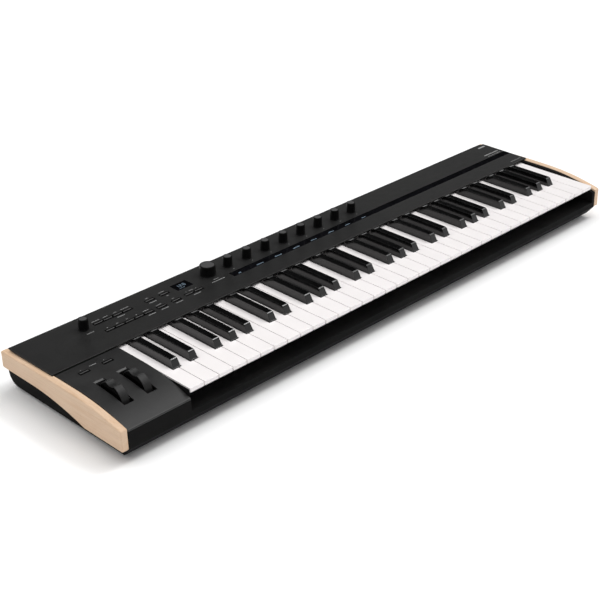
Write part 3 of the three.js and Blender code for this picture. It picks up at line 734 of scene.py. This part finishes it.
def add_feet(finish, screw_finish):
    """Rubber feet, each sunk round the head of its screw."""
    for name in ("foot_front_left", "foot_rear_left", "foot_front_right", "foot_rear_right"):
        low, high = span(name)
        x, y, _ = middle(name)
        radius = (high.x - low.x) / 2
        profile = [
            (0, 2.4), (3.2, 2.4), (3.4, 0.5), (3.9, 0), (radius - 1.4, 0), (radius - 0.9, 0.2),
            (radius - 0.3, 1.2), (radius, 2.0), (radius, high.z - 1.4), (radius - 0.8, high.z), (0, high.z),
        ]
        piece(f"{name}_rubber", Solid().turned(profile, x, y, 48), finish, replaces=[name])
        washer = [(0, 2.5), (2.7, 2.5), (2.7, 2.1), (2.2, 1.8), (0, 1.7)]
        piece(f"{name}_screw", Solid().turned(washer, x, y, 24), screw_finish)


# ---- Wheel cover on the left ----

WHEELS = ("pitch_wheel", "mod_wheel")
BUTTON_SLOT_WIDTH = 16.2
BUTTON_SLOT_DEPTH = 7.2
WHEEL_SLOT_WIDTH = 15.2
WHEEL_SLOT_FRONT = -91.8
WHEEL_SLOT_BACK = -34.5
RAMP_BACK = -30
WHEEL_CUT = (40, 80)
BUTTON_CUT = (50, 80)


def add_wheel_cover(finish):
    """The shell round the wheels: curved top, side towards the keys, slots, ramps and button holes."""
    front = CASE_LOW.y
    back = PANEL_LOW.y - GAP
    right = COVER_HIGH.x
    edge = 1.6
    top = shoulder_line(front, back, 0)
    nose_height = shoulder_height(front + edge)
    nose = arc(front + edge, nose_height - edge, edge, 180, 105, 6)
    under = shoulder_line(front, back, WALL)
    outline = [under[0], *nose, *[p for p in top if p[0] > front + edge], *reversed(under[1:])]
    cover = Solid().prism(outline, CASE_LOW.x, right, "x")
    skirt_line = shoulder_line(front + WALL + GAP, back, 1)
    skirt = [(front + WALL + GAP, RAIL_TOP + GAP), (back, RAIL_TOP + GAP), *reversed(skirt_line)]
    cover.join(Solid().prism(skirt, right - WALL, right, "x"))
    cover.ease(0.5, 3)
    cuts = Solid()
    for wheel in WHEELS:
        x = middle(wheel).x
        slot_middle = (WHEEL_SLOT_FRONT + WHEEL_SLOT_BACK) / 2
        slot = rectangle(x, slot_middle, WHEEL_SLOT_WIDTH, WHEEL_SLOT_BACK - WHEEL_SLOT_FRONT)
        cuts.prism(rounded(slot, 0.7), *WHEEL_CUT)
        ramp_front = WHEEL_SLOT_BACK - 1
        clear = WHEEL_CUT[1]
        ramp = [(ramp_front, clear), (RAMP_BACK, clear), (RAMP_BACK, SHOULDER_TOP - 0.2), (ramp_front, 59)]
        cuts.prism(ramp, x - WHEEL_SLOT_WIDTH / 2, x + WHEEL_SLOT_WIDTH / 2, "x")
    for button in ("octave_button_1", "octave_button_2"):
        spot = middle(button)
        outline = rectangle(spot.x, spot.y, BUTTON_SLOT_WIDTH, BUTTON_SLOT_DEPTH)
        cuts.prism(rounded(outline, 0.8), *BUTTON_CUT)
    cover.cut(cuts)
    cover.ease(0.25, 2, where=lambda p: p.y > WHEEL_SLOT_FRONT - 2 and p.x < right - 15 and p.y < 5)
    piece("wheel_cover", cover, finish, replaces=["wheel_panel"])


WHEEL_RADIUS = 24.5
AXLE_BORE = 3.4
DIP_ANGLE = 92
DIP_HALF = 19
DIP_LOW = 20.8
TREAD = 1.2


def wheel_outline(inset):
    """A disc with a thumb dip at its crown, drawn in by inset all round."""
    radius = WHEEL_RADIUS - inset
    low = DIP_LOW - inset
    chord = radius * math.sin(math.radians(DIP_HALF))
    depth = radius * math.cos(math.radians(DIP_HALF)) - low
    dip_radius = (chord ** 2 + depth ** 2) / (2 * depth)
    dip_half = math.degrees(math.asin(chord / dip_radius))
    direction = math.radians(DIP_ANGLE)
    dip_y = (low + dip_radius) * math.cos(direction)
    dip_z = (low + dip_radius) * math.sin(direction)
    dip = arc(dip_y, dip_z, dip_radius, DIP_ANGLE + 180 + dip_half, DIP_ANGLE + 180 - dip_half, 16)
    rim = arc(0, 0, radius, DIP_ANGLE + DIP_HALF, DIP_ANGLE + 360 - DIP_HALF, 84)
    return dip + rim[1:-1]


def add_wheels(tread_finish, shaded_core_finish):
    """Each wheel is a gloss core with a soft tread round it; the core's near-black tone is painted shade on
    the wheel's unlit sides.
    """
    axes = {joint["child"]: joint["pos_m"] for joint in frame["joints"] if "pos_m" in joint}
    for name in WHEELS:
        low, high = span(name)
        half = (high.x - low.x) / 2
        tread = Solid().prism(wheel_outline(0), -half, half, "x")
        tread.cut(Solid().prism(wheel_outline(TREAD), -half - 1, half + 1, "x"))
        tread.ease(0.4, 3, angle=50)
        core = Solid().prism(wheel_outline(TREAD - 0.1), 0.3 - half, half - 0.3, "x")
        core.cut(Solid().rod(AXLE_BORE, -20, 20, sides=32, axis="x"))
        at = [value / MM for value in axes[name]]
        piece(f"{name}_tread", tread, tread_finish, name, at, [name])
        # The core's near-black tone is painted shade for the wheel's unlit sides.
        piece(f"{name}_core", core, shaded_core_finish, name, at)


# ---- Control panel ----

PANEL_CUT = (55, 75)
SHAFT_HOLE = 3.6
BUTTONS = [node for node in frame["nodes"] if "_button_" in node]
KNOBS = ["volume_knob", "value_encoder"] + [f"knob_{i}" for i in range(1, 9)]
BUTTON_SLOTS = [("upper_button_1", "upper_button_4"), ("lower_button_1", "lower_button_5")]
BUTTON_SLOTS += [(name, name) for name in BUTTONS if name.split("_")[0] in ("edit", "cursor", "page")]


def add_control_panel(finish):
    """The flat plate, with its openings for the displays, buttons and knob shafts."""
    low, high = PANEL_LOW, PANEL_HIGH
    strip_low, strip_high = span("knob_display")
    panel = Solid().block(low.x, high.x, low.y, PANEL_BACK, low.z, high.z)
    panel.ease(0.8, 3, where=lambda p: p.z > high.z - 0.1)
    cuts = Solid()
    cuts.block(strip_low.x - GAP, high.x + 5, strip_low.y - GAP, strip_high.y + GAP, *PANEL_CUT)
    cuts.prism(rounded(footprint("main_display", GAP), 0.6), *PANEL_CUT)
    for first, last in BUTTON_SLOTS:
        start, end = middle(first), middle(last)
        length = end.x - start.x + BUTTON_SLOT_WIDTH
        outline = rectangle((start.x + end.x) / 2, start.y, length, BUTTON_SLOT_DEPTH)
        cuts.prism(rounded(outline, 0.7), *PANEL_CUT)
    for name in KNOBS:
        spot = middle(name)
        cuts.rod(SHAFT_HOLE, *PANEL_CUT, spot.x, spot.y, 24)
    panel.cut(cuts)
    inside = lambda p: low.x + 2 < p.x < high.x - 2 and low.y + 2 < p.y < PANEL_BACK - 2
    panel.ease(0.22, 2, where=inside)
    piece("top_panel", panel, finish, replaces=["control_panel"])


def add_displays(finish):
    """The clear windows over both displays."""
    for name in ("main_display", "knob_display"):
        low, high = span(name)
        lens = Solid().prism(rounded(footprint(name), 0.4), low.z, high.z).ease(0.12, 2)
        piece(f"{name}_lens", lens, finish, replaces=[name])


SEGMENTS = {"1": "bc", "2": "abged", "8": "abcdefg"}
METER_BARS = (3, 8, 8, 8, 7, 7, 6, 5)
LIFT = 0.01
PRINT = 0.03


def add_readouts(finish):
    """A three-figure number on the main display, and a small level meter under each knob."""
    low, high = span("main_display")
    level = high.z + LIFT
    number = Solid()
    width, height, stroke, gap = 3.6, 6.4, 0.85, 0.08
    bars = {
        "a": (0, width, height - stroke, height), "d": (0, width, 0, stroke),
        "g": (0, width, (height - stroke) / 2, (height + stroke) / 2),
        "f": (0, stroke, height / 2, height), "b": (width - stroke, width, height / 2, height),
        "e": (0, stroke, 0, height / 2), "c": (width - stroke, width, 0, height / 2),
    }
    y = low.y + 7.2
    for place, figure in enumerate("128"):
        x = low.x + 5.2 + place * 5.6
        for segment in SEGMENTS[figure]:
            x0, x1, y0, y1 = bars[segment]
            number.block(x + x0 + gap, x + x1 - gap, y + y0 + gap, y + y1 - gap, level, level + PRINT)
    y = low.y + 3.2
    for i in range(6):
        x = low.x + 6 + i * 1.5
        number.block(x, x + 0.9, y, y + 0.8 + 0.25 * (i % 3), level, level + PRINT)
    piece("main_readout", number, finish)
    low, high = span("knob_display")
    level = high.z + LIFT
    y = low.y + 2.4
    width = 1.15
    for i, count in enumerate(METER_BARS, 1):
        meter = Solid()
        left = middle(f"knob_{i}").x - 3.5 - count * width * 0.6 / 2
        for bar in range(count):
            height = 1.3 + 1.5 * CHANCE.random()
            x = left + bar * width * 1.45
            meter.block(x, x + width, y, y + height, level, level + PRINT)
        piece(f"level_readout_{i}", meter, finish)


# ---- Buttons, knobs and printed marks ----


def add_buttons(finish, painted_highlight_finish):
    """Caps that lie just under the panel, each with a slim raised bar in pale grey plastic; its pale grey is
    a painted highlight along the cap's ridge.
    """
    low, high = span("upper_button_1")
    half = (high.y - low.y) / 2
    length = (high.x - low.x) / 2
    flat = high.z - 1.5
    section = [(-half, low.z), (half, low.z), (half, flat - 0.5), (half - 0.5, flat)]
    section += [(0.5 - half, flat), (-half, flat - 0.5)]
    cap = Solid().prism(section, -length, length, "x").ease(0.16, 2).mesh("button_cap")
    bar_outline = rounded(rectangle(0, 0.5, 2 * length - 1.4, 0.8), 0.3)
    bar = Solid().prism(bar_outline, flat - 0.2, high.z - 0.5).ease(0.2, 2).mesh("button_bar")
    for name in BUTTONS:
        spot = middle(name)
        place = (spot.x, spot.y, span(name)[1].z - high.z)
        # The caps' near-black is partly their own colour and partly painted shade for the deep slots round
        # them.
        piece(f"{name}_cap", cap, finish, name, place, [name])
        # The bar's pale grey is a painted highlight along the cap's ridge.
        piece(f"{name}_bar", bar, painted_highlight_finish, name, place)


KNOB_RIM = 1.5


def knob_profile(radius, top, base):
    """Shaft, skirt, straight side, rounded rim, and a shallow recess for the top disc."""
    side = radius - 0.1
    rim = arc(side - 0.6, top - 0.6, 0.6, 8, 90, 6)
    return [
        (0, 60), (3, 60), (3, base), (radius + 0.3, base), (radius + 0.3, base + 0.6),
        (radius + 0.15, base + 0.8), (side + 0.12, base + 0.95), *rim,
        (side - KNOB_RIM + 0.1, top), (side - KNOB_RIM, top - 0.6), (0, top - 0.6),
    ]


def add_knobs(finish, painted_light_disc_finish):
    """Every knob with a disc let into its top; the disc's lighter grey is painted light, showing the top lit
    brighter than the knob's sides.
    """
    base = PANEL_HIGH.z + 0.5
    for name in KNOBS:
        low, high = span(name)
        radius = (high.x - low.x) / 2 + 0.1
        sunk = 0.4 if name == "value_encoder" else 0.08
        spot = middle(name)
        place = (spot.x, spot.y, 0)
        knob = Solid().turned(knob_profile(radius, high.z, base), sides=64)
        piece(f"{name}_cap", knob, finish, name, place, [name])
        edge = radius - 0.1 - KNOB_RIM - 0.05
        seat = high.z - 0.55
        level = high.z - sunk
        disc = [(0, seat), (edge, seat), (edge, level - 0.06), (edge - 0.1, level), (0, level)]
        # The top disc: a lighter grey copy of the knob plastic, painted light for the top lit brighter than
        # the sides.
        piece(f"{name}_inlay", Solid().turned(disc, sides=64), painted_light_disc_finish, name, place)


def add_print(finish):
    """Pale marks beside the controls: bars of small blocks in place of words."""
    top = PANEL_HIGH.z + LIFT
    marks = Solid()

    def bar(x, y, length, height=1.2, plain=False, level=top):
        """A row of small blocks, or one plain bar, centred on x and y."""
        low = y - height / 2
        if plain:
            marks.block(x - length / 2, x + length / 2, low, y + height / 2, level, level + PRINT)
            return
        start = x - length / 2
        while start < x + length / 2 - 0.4:
            width = min(0.55 + 0.65 * CHANCE.random(), x + length / 2 - start)
            tall = height * (0.75 + 0.25 * CHANCE.random())
            marks.block(start, start + width, low, low + tall, level, level + PRINT)
            start += width + 0.28

    above, below = 7.05, -7
    words = {
        "upper_button": (12.4, 7.5, 5.5, 12.9), "lower_button": (2.2, 2.4, 2.2, 2.5, 9.8),
        "edit_button": (5.2, 9.6), "cursor_button": (9.6, 3.8), "page_button": (1.1, 1.6),
    }
    for group, lengths in words.items():
        for number, length in enumerate(lengths, 1):
            spot = middle(f"{group}_{number}")
            bar(spot.x, spot.y + above, length)
    for name in ("upper_button_3", "lower_button_5", "edit_button_1", "cursor_button_1", "cursor_button_2"):
        spot = middle(name)
        bar(spot.x, spot.y + below, 12.2, 1, True)
    spot = middle("edit_button_2")
    bar(spot.x, spot.y + below, 3.4)
    spot = (middle("page_button_1") + middle("page_button_2")) / 2
    bar(spot.x, spot.y + above, 6.8)
    bar(spot.x, spot.y + below, 12.6, 1, True)
    bar(middle("volume_knob").x, 67.9, 11.3)
    encoder = middle("value_encoder").x
    bar(encoder - 1, 64.6, 8.6)
    bar(encoder - 1.4, 59, 23.3, 1, True)
    for i in range(1, 9):
        marks.rod(0.65, top, top + PRINT, middle(f"knob_{i}").x + 0.3, 69.8, 20)
    # The plain mark and the lines of small print at the panel's right end
    bar(464.9, 101.9, 16.7, 3.2, True)
    bar(455.5, 73.7, 35.3, 2.6)
    bar(456.1, 67.2, 32.5, 1.1)
    bar(461, 25.3, 26.2)
    cover = SHOULDER_TOP + LIFT
    for number in (1, 2):
        spot = middle(f"octave_button_{number}")
        bar(spot.x - 0.9, 4, 1.3, 1.3, level=cover)
    spot = (middle("octave_button_1") + middle("octave_button_2")) / 2
    bar(spot.x, 4.2, 10.5, level=cover)
    piece("panel_marks", marks, finish)


# ---- Keys ----

WHITE_SEMITONES = (0, 2, 4, 5, 7, 9, 11)
BLACK_SEMITONES = (1, 3, 6, 8, 10)
WHITE_NAMES = "cdefgab"


def tail_edges():
    """Edges of the twelve tails in one octave, measured from its left end."""
    edges = [0]
    for naturals in (3, 4):
        tail = (naturals * KEY_PITCH - (naturals - 1) * BLACK_SLOT) / naturals
        for i in range(naturals):
            edges.append(edges[-1] + tail)
            if i < naturals - 1:
                edges.append(edges[-1] + BLACK_SLOT)
    return edges


TAIL_EDGES = tail_edges()


def white_key_solid(index, cut_right=True):
    """One white key, from the left end of its octave: a slab that overhangs a deeper body."""
    front = KEYS_LOW.y
    tail_end = 30
    semitone = WHITE_SEMITONES[index]
    left = index * KEY_PITCH + WHITE_SIDE_GAP
    right = (index + 1) * KEY_PITCH - WHITE_SIDE_GAP
    tail_left = max(left, TAIL_EDGES[semitone] + GAP)
    tail_right = min(right, TAIL_EDGES[semitone + 1] - GAP) if cut_right else right
    notch = BLACK_LOW.y - 1

    def outline(inset, start):
        points = [(left + inset, start), (right - inset, start)]
        radii = [1.1, 1.1] if start == front else [0, 0]
        if tail_right < right:
            points += [(right - inset, notch), (tail_right - inset, notch)]
            radii += [0.8, 0.5]
        points += [(tail_right - inset, tail_end), (tail_left + inset, tail_end)]
        radii += [0.8, 0.8]
        if tail_left > left:
            points += [(tail_left + inset, notch), (left + inset, notch)]
            radii += [0.5, 0.8]
        return rounded(points, radii)

    slab = Solid().prism(outline(0, front), WHITE_TOP - WHITE_LIP, WHITE_TOP).ease(0.4, 3, angle=50)
    body = outline(0.5, front + WHITE_OVERHANG)
    return slab.join(Solid().prism(body, WHITE_TOP - WHITE_DEPTH, WHITE_TOP - WHITE_LIP + 1))


def black_key_solid():
    """One black key centred on x = 0: sloping nose, tapered sides, rounded back, spread foot."""
    front = BLACK_LOW.y
    top = BLACK_HIGH.z
    foot = 49
    back_radius = BLACK_BACK_LOW - BLACK_BACK_TOP
    nose = rounded(
        [(front, foot), (front + 0.5, WHITE_TOP + 0.8), (front + 5.3, top), (BLACK_BACK_TOP, top)],
        [0, 0, 3.4, 0],
        8,
    )
    back = arc(BLACK_BACK_TOP, top - back_radius, back_radius, 88, 0, 12)
    side = [*nose, *back, (BLACK_BACK_LOW, foot)]
    key = Solid().prism(side, -0.5, 0.5, "x")
    for vert in key.bm.verts:
        rise = max(0, vert.co.z - WHITE_TOP) / (top - WHITE_TOP)
        vert.co.x *= BLACK_BASE_WIDTH + (BLACK_TOP_WIDTH - BLACK_BASE_WIDTH) * rise
    key.ease(1.3, 5, where=lambda p: p.z > WHITE_TOP + 0.5, angle=40)
    half = BLACK_BASE_WIDTH / 2 + 0.25
    lip_front = front - 0.3
    lip_back = BLACK_BACK_LOW - 2
    spread = rounded([(-half, lip_front), (half, lip_front), (half, lip_back), (-half, lip_back)], 0.6)
    lip = Solid().prism(spread, foot, WHITE_TOP + 0.9).ease(0.35, 3, where=lambda p: p.z > WHITE_TOP)
    return key.join(lip)


def comb_bar(keys_left, keys_right, level, tails, start):
    """The strip that joins the keys of one comb at their hinge; from start, a tail runs back to it."""
    low, high = 44, 50
    bar = Solid().block(keys_left, keys_right, 62, 74, level, level + 3.5)
    top = level + 3.4
    tail = [
        (start, low), (57, low), (57, level), (64, level), (64, top), (60.5, max(top, high)), (start, high),
    ]
    for left, right in tails:
        bar.join(Solid().prism(tail, left, right, "x"))
    return bar.ease(0.3, 1)


def add_keys(white, black):
    """All 61 keys on their combs, and the bars of the combs."""
    whites = {index: white_key_solid(index).mesh(f"white_key_{WHITE_NAMES[index]}") for index in range(7)}
    top_c = white_key_solid(0, False).mesh("white_key_top_c")
    sharp = black_key_solid().mesh("black_key")
    octave_pitch = 7 * KEY_PITCH
    white_inset, black_inset = 1.5, 2.3
    black_tails = [(TAIL_EDGES[s] + black_inset, TAIL_EDGES[s + 1] - black_inset) for s in BLACK_SEMITONES]

    def white_tail(index):
        semitone = WHITE_SEMITONES[index]
        left = max(index * KEY_PITCH, TAIL_EDGES[semitone]) + white_inset
        right = min((index + 1) * KEY_PITCH, TAIL_EDGES[semitone + 1]) - white_inset
        return left, right

    for octave in range(OCTAVES):
        x0 = KEY_LEFT + octave * octave_pitch
        number = octave + 1
        last = octave == OCTAVES - 1
        for index, letter in enumerate(WHITE_NAMES):
            comb = "cegb" if letter in "cegb" else "dfa"
            piece(f"key_{letter}{number}", whites[index], white, f"white_comb_{comb}_{number}", (x0, 0, 0))
        if last:
            piece(f"key_c{number + 1}", top_c, white, f"white_comb_cegb_{number}", (x0 + octave_pitch, 0, 0))
        for semitone in BLACK_SEMITONES:
            centre = x0 + (TAIL_EDGES[semitone] + TAIL_EDGES[semitone + 1]) / 2
            piece(f"key_sharp{semitone}_{number}", sharp, black, f"black_comb_{number}", (centre, 0, 0))
        tails = [white_tail(index) for index in (0, 2, 4, 6)]
        end = octave_pitch - 1
        if last:
            tails.append((octave_pitch + white_inset, octave_pitch + 10))
            end = octave_pitch + KEY_PITCH - 1
        inner_tails = [white_tail(index) for index in (1, 3, 5)]
        combs = {
            "white_comb_cegb": (1, end, tails, 27, white),
            "white_comb_dfa": (KEY_PITCH, 6 * KEY_PITCH, inner_tails, 27, white),
            "black_comb": (TAIL_EDGES[1], TAIL_EDGES[11], black_tails, 10, black),
        }
        for comb, (left, right, roots, start, finish) in combs.items():
            node = f"{comb}_{number}"
            bar = comb_bar(left, right, COMB_LEVELS[comb], roots, start)
            piece(f"{node}_bar", bar, finish, node, (x0, 0, 0), [node])


# ---- Sockets at the back ----

SOCKET_FRONT = span("main_board")[1].y
BOARD_TOP = SOCKET_Z - 8.5


def socket_rod(x, radius, depth, reach, sides):
    """A round bar from depth inside the sockets' front to reach behind the back wall."""
    return Solid().rod(radius, SOCKET_FRONT - depth, REAR + reach, x, SOCKET_Z, sides, "y")


def socket_body(x, half_width, length, rise, sleeve, bore, sides):
    """A block with a bored sleeve; sleeve is (radius, reach) and bore is (radius, depth)."""
    ends = (SOCKET_FRONT - length, SOCKET_FRONT)
    body = Solid().block(x - half_width, x + half_width, *ends, BOARD_TOP + 0.1, SOCKET_Z + rise)
    body.join(socket_rod(x, sleeve[0], 1, sleeve[1], sides))
    return body.cut(socket_rod(x, *bore, 2, sides))


def add_jacks(black, metal):
    """Jack bodies, each held by a hexagon nut."""
    for number, x in enumerate(JACKS, 1):
        body = socket_body(x, 7.5, 21, 7.5, (4.7, 1.6), (3.3, 18), 40)
        piece(f"jack_body_{number}", body.ease(0.3, 2, angle=50), black)
        nut = Solid().prism(polygon(x, SOCKET_Z, 7.2, 6, 30), REAR + 0.05, REAR + 1.9, "y")
        nut.cut(Solid().rod(4.75, REAR - 1, REAR + 4, x, SOCKET_Z, 40, "y"))
        piece(f"jack_nut_{number}", nut.ease(0.3, 2, angle=50), metal)


def add_round_sockets(black):
    """Round sockets with five pin holes in their core."""
    for number, x in enumerate(ROUND_SOCKETS, 1):
        body = socket_body(x, 9.5, 11, 9, (7.2, 0.4), (6.8, 8), 48)
        pins = Solid()
        for px, pz in arc(x, SOCKET_Z, 4, 0, 180, 4):
            pins.rod(0.8, SOCKET_FRONT - 7, REAR + 2, px, pz, 16, "y")
        body.join(socket_rod(x, 5.6, 9, -1.5, 48).cut(pins))
        piece(f"round_socket_{number}", body.ease(0.2, 2, angle=50), black)


def add_power_socket(black, brass):
    """A barrel socket with its centre pin."""
    x = POWER_SOCKET
    body = socket_body(x, 5, 12, 5.5, (3.3, 0.2), (2.8, 9), 32)
    piece("power_socket", body.ease(0.2, 2, angle=50), black)
    foot = SOCKET_FRONT - 10
    profile = [(0, foot), (0.95, foot), (0.95, REAR - 1.6), (0.5, REAR - 1), (0, REAR - 0.9)]
    piece("power_socket_pin", Solid().turned(profile, x, SOCKET_Z, 24, "y"), brass)


def add_data_port(black, metal):
    """A small flat port: a metal shell round a tongue."""
    x = DATA_PORT
    front = SOCKET_FRONT - 7
    shell = Solid().prism(rounded(rectangle(x, SOCKET_Z, 9.1, 3.4), 1.5), front - 2, REAR - 0.2, "y")
    shell.cut(Solid().prism(rounded(rectangle(x, SOCKET_Z, 8.5, 2.8), 1.3), front, REAR + 1, "y"))
    piece("data_port_shell", shell.ease(0.1, 1, angle=50), metal)
    tongue = Solid().block(x - 3.3, x + 3.3, front - 0.5, REAR - 1.4, SOCKET_Z - 0.35, SOCKET_Z + 0.35)
    piece("data_port_tongue", tongue.ease(0.1, 1), black)


def add_sockets(board, black, metal, brass):
    """The main board behind the back wall, with the sockets that stand on it."""
    slab = Solid().block(80, 344, 84, SOCKET_FRONT - 1, BOARD_TOP - 1.6, BOARD_TOP).ease(0.2, 1)
    piece("main_board_slab", slab, board, replaces=["main_board"])
    add_jacks(black, metal)
    add_round_sockets(black)
    add_power_socket(black, brass)
    add_data_port(black, metal)


# ---- Everything together ----


def paint(finish, *nodes):
    """Gives CAD nodes that stay in view their finish."""
    for name in nodes:
        for slot in frame["nodes"][name].material_slots:
            slot.material = finish.material


def main():
    add_camera()
    add_studio()
    case = moulded_black("case_plastic", "case_plastic", 0.007, 0.55, gloss=0.03)
    cover = moulded_black("cover_plastic", "case_plastic", 0.009, 0.42, gloss=0.45)
    tread = moulded_black("wheel_tread", "wheel_plastic", 0.008, 0.5, 0.5, 0.03, 0.25)
    # Painted shade: a near-black copy of the wheel plastic for the wheels' unlit sides.
    core = moulded_black("wheel_core_painted_shade", "wheel_plastic", 0.001, 0.15, 0.5, 0.004, 0.1)
    knob = moulded_black("knob_plastic", "knob_rubber", 0.003, 0.4, 0.3, 0.015, 0.12)
    # Painted light: a lighter grey copy of the knob plastic for the knob tops, shown catching more light than
    # the sides.
    painted_light_disc = moulded_black("knob_painted_light_disc", "knob_rubber", 0.055, 0.5, 0.25, 0.01, 0.4)
    # Near-black caps: partly the buttons' own colour, partly painted shade for the deep slots they sit in.
    button = moulded_black("button_plastic", "button_plastic", 0.001, 0.4, 0.25, 0.015, 0.03)
    # Painted highlight: pale grey plastic for the button bars, standing in for the highlight along each
    # button's ridge.
    painted_highlight_bar = moulded_black("button_painted_highlight_bar", "button_plastic", 0.1, 0.35, 0.2, 0.005, 0.5)
    socket = moulded_black("socket_plastic", "case_plastic", 0.012, 0.42, 0.3, 0.01)
    zinc = metal_finish("zinc_sheet", (0.62, 0.63, 0.65), 0.38, (0.04, 1, 1))
    nickel = metal_finish("nickel_plate", (0.66, 0.64, 0.6), 0.25, (1, 1, 0.1))
    dark_steel = metal_finish("black_screw_steel", (0.07, 0.07, 0.075), 0.4, (1, 1, 1))
    brass = metal_finish("brass_pin", (0.75, 0.55, 0.25), 0.25, (1, 0.1, 1))
    board = board_finish()
    add_wooden_ends(wood_finish())
    add_case(case, dark_steel)
    add_key_guard(case)
    add_feet(rubber_finish(), dark_steel)
    add_wheel_cover(cover)
    add_wheels(tread, core)
    add_control_panel(panel_finish())
    add_displays(lens_finish())
    add_readouts(glow_finish())
    add_buttons(button, painted_highlight_bar)
    add_knobs(knob, painted_light_disc)
    add_print(ink_finish())
    add_keys(white_key_finish(), black_key_finish())
    add_sockets(board, socket, nickel, brass)
    paint(zinc, "wheel_bracket", "keybed_frame")
    paint(board, "contact_board", "panel_board")


main()
